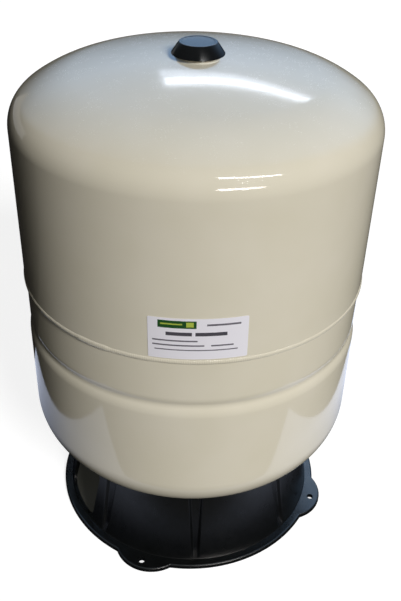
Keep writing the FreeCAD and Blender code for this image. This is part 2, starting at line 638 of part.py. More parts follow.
def stand():
    """A one-piece moulded stand: fluted wall, foot flange with bolt lugs, seat lip and pipe window."""
    top_z = BOTTOM.height(STAND_TOP_RADIUS)[0]
    lip_inner = STAND_TOP_RADIUS - SEAT_LIP_WIDTH
    lip_outer = STAND_TOP_RADIUS - STAND_WALL / 2
    wall = turned([
        (STAND_FOOT_RADIUS, 0), (STAND_TOP_RADIUS, top_z), (STAND_TOP_RADIUS - STAND_WALL, top_z),
        (STAND_FOOT_RADIUS - STAND_WALL, 0)])
    lip = turned([
        (lip_inner, under_lip(lip_inner)), (lip_outer, under_lip(lip_outer)),
        (lip_outer, top_z), (lip_inner, top_z)])
    lug_angle = HALF_TURN / LUG_COUNT
    backs = around(
        flute(FLUTE_FOOT_WIDTH + 2 * STAND_WALL, FLUTE_TOP_WIDTH + 2 * STAND_WALL,
              FLUTE_DEPTH + STAND_WALL, -STAND_WALL / 2, 0.0, top_z - FLUTE_BACK_DROP),
        FLUTE_COUNT, HALF_TURN / FLUTE_COUNT)
    foot = turned([
        (STAND_FOOT_RADIUS - STAND_WALL, 0), (FOOT_RADIUS, 0), (FOOT_RADIUS, FOOT_HEIGHT),
        (STAND_FOOT_RADIUS - STAND_WALL, FOOT_HEIGHT)])
    lug_disc = Part.makeCylinder(LUG_RADIUS, FOOT_HEIGHT, V(LUG_CENTRE_RADIUS, 0, 0))
    lug_disc = lug_disc.cut(Part.makeCylinder(STAND_FOOT_RADIUS - STAND_WALL / 2, FOOT_HEIGHT))
    flange = foot.multiFuse(around(lug_disc, LUG_COUNT, lug_angle)).removeSplitter()
    rim_edges = [edge for edge in flange.Edges
                 if edge.BoundBox.ZMin > FOOT_HEIGHT - 1e-3
                 and min(math.hypot(v.X, v.Y) for v in edge.Vertexes) > STAND_FOOT_RADIUS]
    flange = flange.makeFillet(FOOT_ROUND, rim_edges)
    body = wall.multiFuse([lip, flange] + backs)
    cutters = around(
        flute(FLUTE_FOOT_WIDTH, FLUTE_TOP_WIDTH,
              FLUTE_DEPTH, FLUTE_REACH, FOOT_HEIGHT, top_z + FLUTE_OVERRUN),
        FLUTE_COUNT, HALF_TURN / FLUTE_COUNT)
    hole = Part.makeCylinder(LUG_HOLE_RADIUS, FOOT_HEIGHT, V(LUG_PITCH_RADIUS, 0, 0))
    holes = around(hole, LUG_COUNT, lug_angle)
    for cutter in cutters + holes:
        body = body.cut(cutter)
    window = Part.makeBox(
        STAND_FOOT_RADIUS, WINDOW_WIDTH, WINDOW_TOP_Z - WINDOW_SILL_Z,
        V(-STAND_FOOT_RADIUS - WINDOW_REACH, -WINDOW_WIDTH / 2, WINDOW_SILL_Z))
    middle_z = (WINDOW_TOP_Z + WINDOW_SILL_Z) / 2
    inward = [edge for edge in window.Edges if edge.BoundBox.XLength > WINDOW_REACH]
    window = window.makeFillet(WINDOW_ROUND, [edge for edge in inward if edge.BoundBox.ZMin > middle_z])
    inward = [edge for edge in window.Edges if edge.BoundBox.XLength > WINDOW_REACH]
    corners = [edge for edge in inward if edge.BoundBox.ZMax < WINDOW_SILL_Z + WINDOW_SILL_ROUND]
    window = window.makeFillet(WINDOW_SILL_ROUND, corners)
    body = body.cut(window).cut(BOTTOM.solid(0.0))
    return turned_about_axis(body.removeSplitter(), STAND_TURN)


def on_bottom(shape):
    """Copies of a fastener drawn at the origin, set square to the bottom head beside each lug."""
    level, lean = BOTTOM.height(STUD_SEAT_RADIUS)
    placed = shape.copy()
    placed.rotate(V(0, 0, 0), V(0, 1, 0), -lean)
    placed.translate(V(STUD_SEAT_RADIUS, 0, level))
    fitted = placed.cut(BOTTOM.solid(0.0))
    return Part.makeCompound(around(fitted, LUG_COUNT, STAND_TURN + HALF_TURN / LUG_COUNT))


def stand_studs():
    foot = Part.makeCylinder(STUD_FOOT_RADIUS, STUD_FOOT_HEIGHT + WELD_DEPTH, V(0, 0, -STUD_FOOT_HEIGHT))
    shank = Part.makeCylinder(STUD_RADIUS, STUD_LENGTH, V(0, 0, -STUD_LENGTH))
    return on_bottom(foot.fuse(shank).removeSplitter())


def stand_clips():
    """Toe clips: a plate under the stand's seat lip, with its heel bent up to the tank."""
    plate_top = -SEAT_LIP_HEIGHT
    plate_foot = plate_top - CLIP_WALL
    half = CLIP_WIDTH / 2
    heel = CLIP_WALL - CLIP_HEEL
    side = [
        V(-CLIP_HEEL, -half, WELD_DEPTH), V(heel, -half, WELD_DEPTH), V(heel, -half, plate_top),
        V(CLIP_TOE, -half, plate_top), V(CLIP_TOE, -half, plate_foot), V(-CLIP_HEEL, -half, plate_foot),
        V(-CLIP_HEEL, -half, WELD_DEPTH)]
    plate = Part.Face(Part.makePolygon(side)).extrude(V(0, CLIP_WIDTH, 0))
    hole = Part.makeCylinder(STUD_RADIUS + BOLT_GAP, 2 * CLIP_WALL, V(0, 0, plate_foot - CLIP_WALL / 2))
    return on_bottom(plate.cut(hole))


def stand_nuts():
    seat = -SEAT_LIP_HEIGHT - CLIP_WALL
    flange = ring(STUD_RADIUS + THREAD_GAP, NUT_FLANGE_RADIUS, seat - NUT_FLANGE_HEIGHT, seat)
    nut = hexagon(NUT_HEX, seat - NUT_HEIGHT, NUT_HEIGHT, STUD_RADIUS + THREAD_GAP, "low")
    return on_bottom(nut.fuse(flange).removeSplitter())


def label():
    low = SEAM_Z + LABEL_ABOVE_SEAM
    high = low + LABEL_HEIGHT
    back = TANK_RADIUS + LABEL_GLUE
    front = back + LABEL_THICKNESS
    angle = math.degrees(LABEL_WIDTH / TANK_RADIUS)
    patch = turned([(back, low), (front, low), (front, high), (back, high)], angle)
    return turned_about_axis(patch, -90.0 - angle / 2)


PIECES = [
    upper_shell, lower_shell, seam_weld, water_liner, diaphragm, clench_ring,
    air_boss, boss_weld, stem_seal, valve_stem, core_body, core_collar_seal, core_pin, core_seat_seal,
    core_spring, cap_seal, air_cap, water_port, port_seal, port_washer, port_nut,
    stand, stand_studs, stand_clips, stand_nuts, label]

os.makedirs("parts", exist_ok=True)
for piece in PIECES:
    shape = piece()
    shape.exportStep("parts/" + piece.__name__ + ".step")
    box = shape.BoundBox
    print(piece.__name__, "valid" if shape.isValid() else "NOT VALID", len(shape.Solids), "solids",
          "volume %.1f" % shape.Volume, "z %.1f to %.1f" % (box.ZMin, box.ZMax))
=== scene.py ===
import json
import math

import bmesh
import bpy
from mathutils import Matrix, Vector


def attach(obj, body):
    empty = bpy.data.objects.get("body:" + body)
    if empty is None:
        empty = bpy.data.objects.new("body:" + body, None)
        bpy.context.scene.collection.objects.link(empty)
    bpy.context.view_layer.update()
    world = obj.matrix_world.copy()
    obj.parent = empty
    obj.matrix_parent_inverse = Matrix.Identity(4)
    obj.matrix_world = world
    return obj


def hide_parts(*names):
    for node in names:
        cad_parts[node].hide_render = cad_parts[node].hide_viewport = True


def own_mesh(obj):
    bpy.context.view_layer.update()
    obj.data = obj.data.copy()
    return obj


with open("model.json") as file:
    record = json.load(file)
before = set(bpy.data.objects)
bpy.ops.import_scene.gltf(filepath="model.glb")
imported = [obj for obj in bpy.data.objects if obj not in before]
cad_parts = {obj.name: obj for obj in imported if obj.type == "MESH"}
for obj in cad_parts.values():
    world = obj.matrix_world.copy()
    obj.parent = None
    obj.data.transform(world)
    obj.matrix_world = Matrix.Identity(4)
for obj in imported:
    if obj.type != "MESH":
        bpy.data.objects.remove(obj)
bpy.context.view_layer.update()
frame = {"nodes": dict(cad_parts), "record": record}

# Sizes are in millimetres, like a maker's drawing, and turned to metres when a mesh is made.
MM = 0.001
FULL_TURN = 2 * math.pi

# How finely round things are drawn, and from which bend on an edge is crisp
ROUND_STEPS = 288
SKIN_STEP = 2.2
UPPER_WALL_STEP = 12.0
LOWER_WALL_STEP = 10.0
SHARP_ANGLE = 30.0
STAND_SHARP_ANGLE = 32.0

# Steel tank
TANK_RADIUS = 177.8
SHELL_WALL = 1.5
SHELL_EDGE = 0.3
SEAM_Z = 316.8

# Lap joint and the crease below it
LAP_GAP = 0.1
LAP_LENGTH = 15.0
NECK_RADIUS = TANK_RADIUS - SHELL_WALL - LAP_GAP
CREASE_Z = 262.3
CREASE_DEPTH = 3.1
CREASE_RISE = 10.0
CREASE_SHOULDER = 14.0
CREASE_FLOOR_SHARE = 0.3

# Weld bead round the lap, with one overlap where it starts and stops
BEAD_EDGE_LAP = 2.0
UPPER_EDGE_Z = SEAM_Z - BEAD_EDGE_LAP / 2
BEAD_INSET = 0.65
BEAD_HALF_WIDTH = 1.35
BEAD_HALF_HEIGHT = 2.75
BEAD_PATH_STEPS = 2160
BEAD_SECTION_STEPS = 14
RIPPLE_COUNT = 540.0
RIPPLE_HEIGHT = 0.10
SWELL_HEIGHT = 0.20
SWELL_LENGTH = 14.0
OVERLAP_AZIMUTH = -122.5
OVERLAP_HALF_ANGLE = 6.0
OVERLAP_SWELL = 0.7
OVERLAP_FADE_START = 1.15
OVERLAP_FADE_END = 0.7
OVERLAP_LEAN = (0.45, 0.45, 1.0)

# Boss on the dome, with the air valve's stem in it
STEM_HEX = 13.0
STEM_ROOT_RADIUS = 4.9
THREAD_GAP = 0.05
BOSS_RISE = 3.0
BOSS_FLANGE_WIDTH = 6.5
BOSS_SPIGOT_WALL = 4.6
BOSS_SPIGOT_DEPTH = 9.0
BOSS_HOLE_GAP = 0.1
BOSS_NECK_WALL = 5.0
BOSS_NECK_HEIGHT = 5.6
BOSS_WELL_GAP = 1.5
BOSS_WELL_FLOOR = 0.6
BOSS_WELL_EDGE = 0.3
BOSS_CHAMFER = 0.6
SEAL_GROOVE_RADIUS = 5.4
SEAL_GROOVE_WIDTH = 1.4
SEAL_GROOVE_DEPTH = 1.0
BOSS_WELL_RADIUS = STEM_HEX / math.sqrt(3) + BOSS_WELL_GAP
BOSS_NECK_RADIUS = BOSS_WELL_RADIUS + BOSS_NECK_WALL
BOSS_RADIUS = BOSS_NECK_RADIUS + BOSS_FLANGE_WIDTH
BOSS_SPIGOT_RADIUS = STEM_ROOT_RADIUS + BOSS_SPIGOT_WALL
BOSS_HOLE_RADIUS = BOSS_SPIGOT_RADIUS + BOSS_HOLE_GAP
BOSS_BORE_RADIUS = STEM_ROOT_RADIUS + THREAD_GAP

# Air cap
CAP_OVERHANG = 4.5
CAP_TAPER = 6.8
CAP_HEIGHT = 10.9
CAP_LIP = 0.6
CAP_FOOT_ROUND = 0.25
CAP_LIP_ROUND = 0.2
CAP_TOP_ROUND = 1.3
CAP_RIM = 1.4
CAP_RIM_ROUND = 0.3
CAP_DISH = 0.5
CAP_DISH_EASE = 0.05
CAP_ROOF = 2.6
CAP_THREAD_GAP = 0.3
CAP_BORE_CHAMFER = 1.0
CAP_RECESS_WIDTH = 4.8
CAP_SEAL_DEPTH = 1.5
CAP_SEAL_PROUD = 0.2
CAP_BASE_RADIUS = BOSS_RADIUS + CAP_OVERHANG
CAP_TOP_RADIUS = CAP_BASE_RADIUS - CAP_TAPER
CAP_BORE_RADIUS = BOSS_NECK_RADIUS + CAP_THREAD_GAP
CAP_RECESS_RADIUS = CAP_BORE_RADIUS + CAP_RECESS_WIDTH

# Water port through the bottom of the tank
WASHER_HEIGHT = 2.0
PORT_NUT_HEIGHT = 7.0
PORT_TAIL = 3.0
PORT_BODY_RADIUS = 10.0
PORT_BODY_LEAD = 0.9
PORT_HOLE_RADIUS = PORT_BODY_RADIUS + 0.3
PORT_THREAD_RADIUS = 6.6
PORT_THREAD_LENGTH = 15.0

# Threads, which are ridges sunk a little into the plain cylinders of the solids
THREAD_SUNK = 0.1
THREAD_MARGIN = 1.0
HELIX_STEPS = 64

# Stand, turned from the label by the angle seen in the photo
STAND_TURN = math.radians(24.4)
FOOT_WIDTH = 8.4
FOOT_HEIGHT = 5.5
FOOT_ROUND = 2.4
FOOT_EDGE_ROUND = 0.5
FOOT_JUNCTION_ROUND = 0.3
STAND_WALL = 3.6
STAND_FOOT_RADIUS = 149.2
STAND_TOP_RADIUS = 127.5
STAND_WALL_STEPS = 16
STAND_WALL_START_Z = FOOT_HEIGHT + 2.0
STAND_INSIDE_TOP_Z = 96.0
FOOT_RADIUS = STAND_FOOT_RADIUS + FOOT_WIDTH
SEAT_GAP = 0.05
SEAT_LIP_WIDTH = 13.0
SEAT_LIP_HEIGHT = 4.0
SEAT_LIP_STEPS = 8
LIP_INNER_RADIUS = STAND_TOP_RADIUS - SEAT_LIP_WIDTH
STUD_INSET = 21.5
STUD_SEAT_RADIUS = STAND_TOP_RADIUS - STUD_INSET
LUG_COUNT = 4
LUG_RADIUS = 42.0
LUG_EDGE = 10.5
LUG_HOLE_REACH = 9.9
LUG_HOLE_RADIUS = 3.7
LUG_HOLE_SIDES = 40
LUG_HOLE_CUT_FOOT = -2.0
LUG_HOLE_CUT_TOP = FOOT_HEIGHT + 4.0
LUG_PITCH_RADIUS = STAND_FOOT_RADIUS + LUG_HOLE_REACH
LUG_CENTRE_RADIUS = LUG_PITCH_RADIUS + LUG_EDGE - LUG_RADIUS
FLUTE_COUNT = 8
FLUTE_TOP_WIDTH = 18.5
FLUTE_TOP_Z = 100.0
FLUTE_FOOT_WIDTH = 9.0
FLUTE_DEPTH = 3.8
FLUTE_FLANK = 3.5
FLUTE_RUN_OUT = 1.5
WINDOW_WIDTH = 67.0
WINDOW_SILL_Z = 7.5
WINDOW_TOP_Z = 82.0
WINDOW_ROUND = 18.0
WINDOW_SILL_ROUND = 13.0
WINDOW_CUT_START = 100.0
WINDOW_CUT_END = 175.0

# Label, with its plain colour fields in millimetres from its lower left corner: left, right, low, high, ink
LABEL_WIDTH = 89.0
LABEL_HEIGHT = 44.0
LABEL_FOOT_Z = SEAM_Z + 4.0
LABEL_TILT = math.radians(0.5)
LABEL_CORNER = 1.2
LABEL_CORNER_STEPS = 4
LABEL_STEPS_ACROSS = 60
LABEL_STEPS_UP = 6
LABEL_GLUE = 0.15
LABEL_THICKNESS = 0.2
GREEN_INK, LIME_INK, GREY_INK, DARK_INK = range(1, 5)
LABEL_FIELDS = [
    (9.0, 43.0, 33.6, 41.6, GREEN_INK), (11.5, 30.5, 37.2, 38.6, LIME_INK),
    (34.0, 40.5, 35.2, 40.2, LIME_INK), (52.0, 82.0, 36.4, 38.4, GREY_INK),
    (16.0, 39.0, 25.6, 29.4, DARK_INK), (42.0, 70.0, 25.6, 29.4, DARK_INK),
    (4.0, 44.0, 19.2, 20.8, GREY_INK), (4.0, 50.0, 14.2, 15.8, GREY_INK),
    (56.0, 76.0, 14.2, 15.8, GREY_INK), (6.0, 80.0, 9.4, 10.6, GREY_INK)]


def linear(colour):
    """An sRGB hex colour as linear red, green, blue and alpha."""
    parts = [int(colour[i:i + 2], 16) / 255 for i in (1, 3, 5)]
    return tuple(c / 12.92 if c <= 0.04045 else ((c + 0.055) / 1.055) ** 2.4 for c in parts) + (1.0,)


def add(tree, kind, inputs=None, **settings):
    """Adds a node, gives it its settings, and sets or links its inputs."""
    node = tree.nodes.new(kind)
    for name, value in settings.items():
        setattr(node, name, value)
    for key, value in (inputs or {}).items():
        if isinstance(value, bpy.types.NodeSocket):
            tree.links.new(value, node.inputs[key])
        else:
            node.inputs[key].default_value = value
    return node


def maths(tree, operation, *values):
    """One step of arithmetic on sockets or numbers."""
    return add(tree, "ShaderNodeMath", dict(enumerate(values)), operation=operation).outputs[0]


def vectors(tree, operation, inputs):
    """One step of arithmetic on vectors."""
    return add(tree, "ShaderNodeVectorMath", inputs, operation=operation)


# Finishes


def finish(name, colour, roughness, metallic=0.0, ior=1.5):
    """A new material with its main shader set; returns the material, its tree and the shader."""
    material = bpy.data.materials.new(name)
    material.use_nodes = True
    tree = material.node_tree
    shader = tree.nodes["Principled BSDF"]
    shader.inputs["Base Color"].default_value = linear(colour)
    shader.inputs["Roughness"].default_value = roughness
    shader.inputs["Metallic"].default_value = metallic
    shader.inputs["IOR"].default_value = ior
    return material, tree, shader


def object_place(tree):
    """Where a spot lies in its piece's own frame."""
    return add(tree, "ShaderNodeTexCoord").outputs["Object"]


def grain(tree, size_mm, detail=2.0):
    """Noise whose cells are about this many millimetres across."""
    return add(tree, "ShaderNodeTexNoise", {
        "Vector": object_place(tree), "Scale": 1 / (size_mm * MM), "Detail": detail}).outputs["Fac"]


def ramp(tree, factor, low, high, dark=0.0, light=1.0, kind="LINEAR"):
    """Spreads a band of a pattern's values over a new range."""
    spread = {"Value": factor, "From Min": low, "From Max": high, "To Min": dark, "To Max": light}
    return add(tree, "ShaderNodeMapRange", spread, interpolation_type=kind).outputs["Result"]


def bumped(tree, shader, height, depth_mm):
    """Sends a height pattern to the shader's normal, with its real depth."""
    bump = add(tree, "ShaderNodeBump", {"Height": height, "Strength": 1.0, "Distance": depth_mm * MM})
    tree.links.new(bump.outputs["Normal"], shader.inputs["Normal"])


def blended(tree, factor, first, second):
    """A colour between two, by a factor."""
    mix = add(tree, "ShaderNodeMix", {"Factor": factor}, data_type="RGBA")
    for socket, value in ((mix.inputs[6], first), (mix.inputs[7], second)):
        if isinstance(value, str):
            socket.default_value = linear(value)
        else:
            tree.links.new(value, socket)
    return mix.outputs[2]


def cream_enamel():
    """Baked polyester enamel, sprayed: a hard gloss with faint orange peel, and dust where it faces up."""
    material, tree, shader = finish("cream_enamel", "#D3CCBA", 0.12)
    cream = blended(tree, ramp(tree, grain(tree, 60.0), 0.3, 0.7), "#D1CAB7", "#D5CEBD")
    normal = add(tree, "ShaderNodeNewGeometry").outputs["Normal"]
    level = ramp(tree, add(tree, "ShaderNodeSeparateXYZ", {0: normal}).outputs["Z"], 0.55, 0.98)
    specks = ramp(tree, grain(tree, 0.9, 0.0), 0.68, 0.74)
    cloud = ramp(tree, grain(tree, 14.0), 0.42, 0.62)
    dust = maths(tree, "MULTIPLY", maths(tree, "MULTIPLY", specks, cloud), level)
    pale = maths(tree, "MULTIPLY", dust, 0.35)
    tree.links.new(blended(tree, pale, cream, "#E6E4DC"), shader.inputs["Base Color"])
    haze = maths(tree, "MULTIPLY", level, ramp(tree, grain(tree, 3.0), 0.4, 0.7, dark=0.01, light=0.09))
    rough = maths(tree, "MULTIPLY_ADD", dust, 0.3, haze)
    tree.links.new(maths(tree, "ADD", rough, 0.065), shader.inputs["Roughness"])
    bumped(tree, shader, grain(tree, 2.6, 1.0), depth_mm=0.006)
    return material


def moulded_black(name, colour, worn, roughness, sheen, texture_mm, depth_mm):
    """Injection-moulded black polypropylene: a fine spark-eroded texture, a dull sheen and a little dust."""
    material, tree, shader = finish(name, colour, roughness, ior=1.49)
    shader.inputs["Specular IOR Level"].default_value = sheen
    wear = ramp(tree, grain(tree, 25.0, 3.0), 0.35, 0.7)
    tree.links.new(blended(tree, wear, colour, worn), shader.inputs["Base Color"])
    shine = ramp(tree, grain(tree, 9.0, 3.0), 0.3, 0.7, dark=roughness - 0.03, light=roughness + 0.05)
    tree.links.new(shine, shader.inputs["Roughness"])
    bumped(tree, shader, grain(tree, texture_mm, 1.0), depth_mm)
    return material


def turned_metal(name, colour, roughness):
    """Metal turned on a lathe: fine rings left by the tool, and a little tarnish."""
    line_mm = 0.12
    material, tree, shader = finish(name, colour, roughness, metallic=1.0)
    lines = {"Vector": object_place(tree), "Scale": 0.05 / (line_mm * MM), "Distortion": 1.0, "Detail": 1.0}
    rings = add(tree, "ShaderNodeTexWave", lines, bands_direction="Z").outputs["Fac"]
    tarnish = ramp(tree, grain(tree, 5.0, 3.0), 0.35, 0.7, dark=roughness - 0.04, light=roughness + 0.12)
    tree.links.new(tarnish, shader.inputs["Roughness"])
    bumped(tree, shader, rings, depth_mm=0.004)
    return material


def zinc_plate():
    """Pressed steel with bright zinc plating: cloudy grey with soft spangle."""
    material, tree, shader = finish("zinc_plate", "#B9BBBA", 0.36, metallic=1.0)
    cell_mm = 3.0
    cells = {"Vector": object_place(tree), "Scale": 1 / (cell_mm * MM)}
    spangle = add(tree, "ShaderNodeTexVoronoi", cells).outputs["Distance"]
    tree.links.new(ramp(tree, spangle, 0.0, 1.0, dark=0.28, light=0.46), shader.inputs["Roughness"])
    tree.links.new(blended(tree, ramp(tree, grain(tree, 6.0), 0.35, 0.65), "#AEB0AF", "#C4C6C5"),
                   shader.inputs["Base Color"])
    return material


def soft_polymer(name, colour, roughness, mottle, texture_mm):
    """Moulded rubber or natural plastic: matt, with a slight mottle and a fine skin."""
    material, tree, shader = finish(name, colour, roughness)
    tree.links.new(blended(tree, ramp(tree, grain(tree, 12.0), 0.35, 0.65), colour, mottle),
                   shader.inputs["Base Color"])
    bumped(tree, shader, grain(tree, texture_mm, 1.0), depth_mm=0.01)
    return material


def label_film(name, colour):
    """Printed white vinyl with a thin clear film: smooth, with a faint mottle from the glue behind it."""
    material, tree, shader = finish(name, colour, 0.34)
    bumped(tree, shader, grain(tree, 4.0), depth_mm=0.008)
    tree.links.new(ramp(tree, grain(tree, 7.0), 0.3, 0.7, dark=0.30, light=0.40), shader.inputs["Roughness"])
    return material


ENAMEL = cream_enamel()
STAND_PLASTIC = moulded_black(
    "black_polypropylene", "#060707", "#090A0A", roughness=0.30, sheen=0.66, texture_mm=0.5, depth_mm=0.012)
CAP_PLASTIC = moulded_black(
    "black_cap_plastic", "#060607", "#09090A", roughness=0.18, sheen=0.24, texture_mm=0.4, depth_mm=0.003)
BUTYL = soft_polymer("butyl_rubber", "#1C1C1D", 0.62, "#262627", 0.7)
POLYPROPYLENE = soft_polymer("natural_polypropylene", "#D9DCD6", 0.42, "#E2E4DF", 1.2)
BRASS = turned_metal("turned_brass", "#C9A25A", 0.26)
STAINLESS = turned_metal("turned_stainless", "#C6C6C4", 0.24)
SPRING_WIRE = turned_metal("drawn_spring_wire", "#8C8C8E", 0.30)
ZINC = zinc_plate()
LABEL_WHITE = label_film("label_white", "#E4E1E8")
LABEL_GREEN = label_film("label_green", "#1E4A22")
LABEL_LIME = label_film("label_lime", "#A9B84A")
LABEL_GREY = label_film("label_grey", "#6A676F")
LABEL_DARK = label_film("label_dark", "#4A484F")

LABEL_FINISHES = [LABEL_WHITE, LABEL_GREEN, LABEL_LIME, LABEL_GREY, LABEL_DARK]
SLOT_FINISH = {
    "enamel": ENAMEL, "stand_plastic": STAND_PLASTIC, "cap_plastic": CAP_PLASTIC, "label_film": LABEL_WHITE,
    "polypropylene": POLYPROPYLENE, "butyl": BUTYL, "plated_steel": ZINC, "stainless": STAINLESS,
    "spring_steel": SPRING_WIRE, "turned_brass": BRASS}

for part in frame["record"]["subparts"]:
    node = frame["nodes"][part["node"]]
    for place in node.material_slots:
        place.link = "OBJECT"
        place.material = SLOT_FINISH[part["material_slot"]]


# Mesh making


def shown(name, mesh):
    """An object in the scene that shows a mesh."""
    thing = bpy.data.objects.new(name, mesh)
    bpy.context.scene.collection.objects.link(thing)
    return thing


def piece_from(name, bm, materials):
    """Closes a mesh in progress into a smooth-shaded piece with crisp edges."""
    bmesh.ops.recalc_face_normals(bm, faces=bm.faces)
    mesh = bpy.data.meshes.new(name)
    for face in bm.faces:
        face.smooth = True
    bm.to_mesh(mesh)
    bm.free()
    for material in materials:
        mesh.materials.append(material)
    mesh.set_sharp_from_angle(angle=math.radians(SHARP_ANGLE))
    return shown(name, mesh)


def loops(outline, angles):
    """Rings of corners, one outline for each angle. A point on the axis is one shared corner."""
    bm = bmesh.new()
    poles = {}
    rings = []
    for angle in angles:
        points = outline(angle) if callable(outline) else outline
        ring = []
        for index, (r, z) in enumerate(points):
            if r < 1e-6:
                if index not in poles:
                    poles[index] = bm.verts.new((0, 0, z * MM))
                ring.append(poles[index])
            else:
                ring.append(bm.verts.new((r * math.cos(angle) * MM, r * math.sin(angle) * MM, z * MM)))
        rings.append(ring)
    return bm, rings


def lathe(name, outline, material, closed=True, angles=None):
    """A solid turned round the tank's axis from an outline, or from one outline for each angle."""
    bm, rings = loops(outline, angles or [FULL_TURN * k / ROUND_STEPS for k in range(ROUND_STEPS)])
    count = len(rings[0])
    for here, there in zip(rings, rings[1:] + rings[:1]):
        for k in range(count if closed else count - 1):
            corners = [here[k], here[(k + 1) % count], there[(k + 1) % count], there[k]]
            distinct = list(dict.fromkeys(corners))
            if len(distinct) > 2:
                bm.faces.new(distinct)
    return piece_from(name, bm, [material])


def arc(centre_r, centre_z, radius, start, end, step=6.0):
    """Points along an arc, in degrees from the outward direction towards up."""
    count = max(2, math.ceil(abs(end - start) / step))
    turns = [math.radians(start + (end - start) * k / count) for k in range(count + 1)]
    return [(centre_r + radius * math.cos(turn), centre_z + radius * math.sin(turn)) for turn in turns]


def fine(points, step):
    """The same path with no run longer than a step."""
    result = [points[0]]
    for (r0, z0), (r1, z1) in zip(points, points[1:]):
        count = max(1, math.ceil(math.hypot(r1 - r0, z1 - z0) / step))
        result += [(r0 + (r1 - r0) * k / count, z0 + (z1 - z0) * k / count) for k in range(1, count + 1)]
    return result


class Head:
    """A drawn head: knuckle, haunch and crown arcs, tangent to each other."""

    def __init__(self, wall_z, sense, knuckle, haunch, knuckle_angle, haunch_angle):
        self.wall_z, self.sense = wall_z, sense
        first, second = math.radians(knuckle_angle), math.radians(haunch_angle)
        haunch_r = TANK_RADIUS - knuckle - (haunch - knuckle) * math.cos(first)
        haunch_z = -(haunch - knuckle) * math.sin(first)
        crown = haunch + haunch_r / math.cos(second)
        crown_z = haunch_z - (crown - haunch) * math.sin(second)
        self.arcs = [(TANK_RADIUS - knuckle, 0.0, knuckle, 0.0, first),
                     (haunch_r, haunch_z, haunch, first, second),
                     (0.0, crown_z, crown, second, math.pi / 2)]

    def skin(self, inset, hole):
        """Fine points from the side wall in to a hole's edge."""
        points = []
        for centre_r, centre_z, radius, start, end in self.arcs:
            if centre_r == 0.0:
                end = math.acos(hole / (radius - inset))
            count = math.ceil(radius * (end - start) / SKIN_STEP)
            for k in range(count + 1):
                angle = start + (end - start) * k / count
                r = centre_r + (radius - inset) * math.cos(angle)
                z = centre_z + (radius - inset) * math.sin(angle)
                point = (r, self.wall_z + self.sense * z)
                if not points or math.dist(points[-1], point) > 1e-6:
                    points.append(point)
        return points

    def height(self, r):
        """Level of the outer skin at a radius, and the lean there in radians."""
        for centre_r, centre_z, radius, start, end in self.arcs:
            cosine = (r - centre_r) / radius
            if -1 < cosine < 1 and start - 1e-9 <= math.acos(cosine) <= end + 1e-9:
                angle = math.acos(cosine)
                return self.wall_z + self.sense * (centre_z + radius * math.sin(angle)), math.pi / 2 - angle
        raise ValueError("no skin at this radius")


DOME = Head(wall_z=475.0, sense=1, knuckle=32.2, haunch=128.6, knuckle_angle=55.0, haunch_angle=78.7)
BOTTOM = Head(wall_z=158.0, sense=-1, knuckle=48.2, haunch=140.0, knuckle_angle=60.0, haunch_angle=79.0)
DOME_TOP_Z = DOME.height(0.0)[0]
BOSS_TOP_Z = DOME_TOP_Z + BOSS_RISE
CAP_FOOT_Z = BOSS_TOP_Z + CAP_SEAL_PROUD
CAP_TOP_Z = CAP_FOOT_Z + CAP_HEIGHT
STAND_TOP_Z = BOTTOM.height(STAND_TOP_RADIUS)[0]
NUT_END_Z = BOTTOM.height(0.0)[0] - WASHER_HEIGHT - PORT_NUT_HEIGHT - PORT_TAIL


# Shells, boss and cap


def upper_shell():
    """The dome and the upper wall down to the seam, with the hole that the boss sits in."""
    wall = fine([(TANK_RADIUS, UPPER_EDGE_Z + SHELL_EDGE), (TANK_RADIUS, DOME.wall_z)], UPPER_WALL_STEP)
    outline = [(TANK_RADIUS - SHELL_EDGE, UPPER_EDGE_Z)] + wall[:-1] + DOME.skin(0.0, BOSS_HOLE_RADIUS)
    outline += DOME.skin(SHELL_WALL, BOSS_HOLE_RADIUS)[::-1] + [(TANK_RADIUS - SHELL_WALL, UPPER_EDGE_Z)]
    return lathe("tank_upper_shell", outline, ENAMEL)


def upright_arc(start, end, count=8):
    """Points along the arc that leaves one point upright and meets another."""
    across, rise = end[0] - start[0], end[1] - start[1]
    lean = math.atan2(abs(across), abs(rise))
    radius = math.hypot(across, rise) ** 2 / (2 * abs(across))
    turns = [2 * lean * k / count for k in range(count + 1)]
    return [(start[0] + math.copysign(radius * (1 - math.cos(t)), across),
             start[1] + math.copysign(radius * math.sin(t), rise)) for t in turns]


def side_wall(inset):
    """The lower shell from its neck down over the crease, as drawn."""
    neck = (NECK_RADIUS - inset, CREASE_Z + CREASE_RISE)
    valley = (TANK_RADIUS - CREASE_DEPTH - inset, CREASE_Z)
    foot = (TANK_RADIUS - inset, CREASE_Z - CREASE_SHOULDER)
    upper, lower = (tuple(a + (b - a) * CREASE_FLOOR_SHARE for a, b in zip(valley, end))
                    for end in (neck, foot))
    wall = fine([(neck[0], UPPER_EDGE_Z + LAP_LENGTH), neck], LOWER_WALL_STEP)
    wall += upright_arc(neck, upper)[1:] + upright_arc(valley, upper)[-2::-1]
    return wall + upright_arc(valley, lower)[1:] + upright_arc(foot, lower)[-2::-1]


def lower_shell_skin(inset):
    """The lower shell from its neck to the port's hole, on a skin set in by inset."""
    wall = side_wall(inset)
    down = fine([wall[-1], (TANK_RADIUS - inset, BOTTOM.wall_z)], LOWER_WALL_STEP)[1:-1]
    return wall + down + BOTTOM.skin(inset, PORT_HOLE_RADIUS)


def lower_shell():
    """The neck, the rolled crease, the lower wall and the bottom head, with the port's hole."""
    return lathe("tank_lower_shell", lower_shell_skin(0.0) + lower_shell_skin(SHELL_WALL)[::-1], ENAMEL)


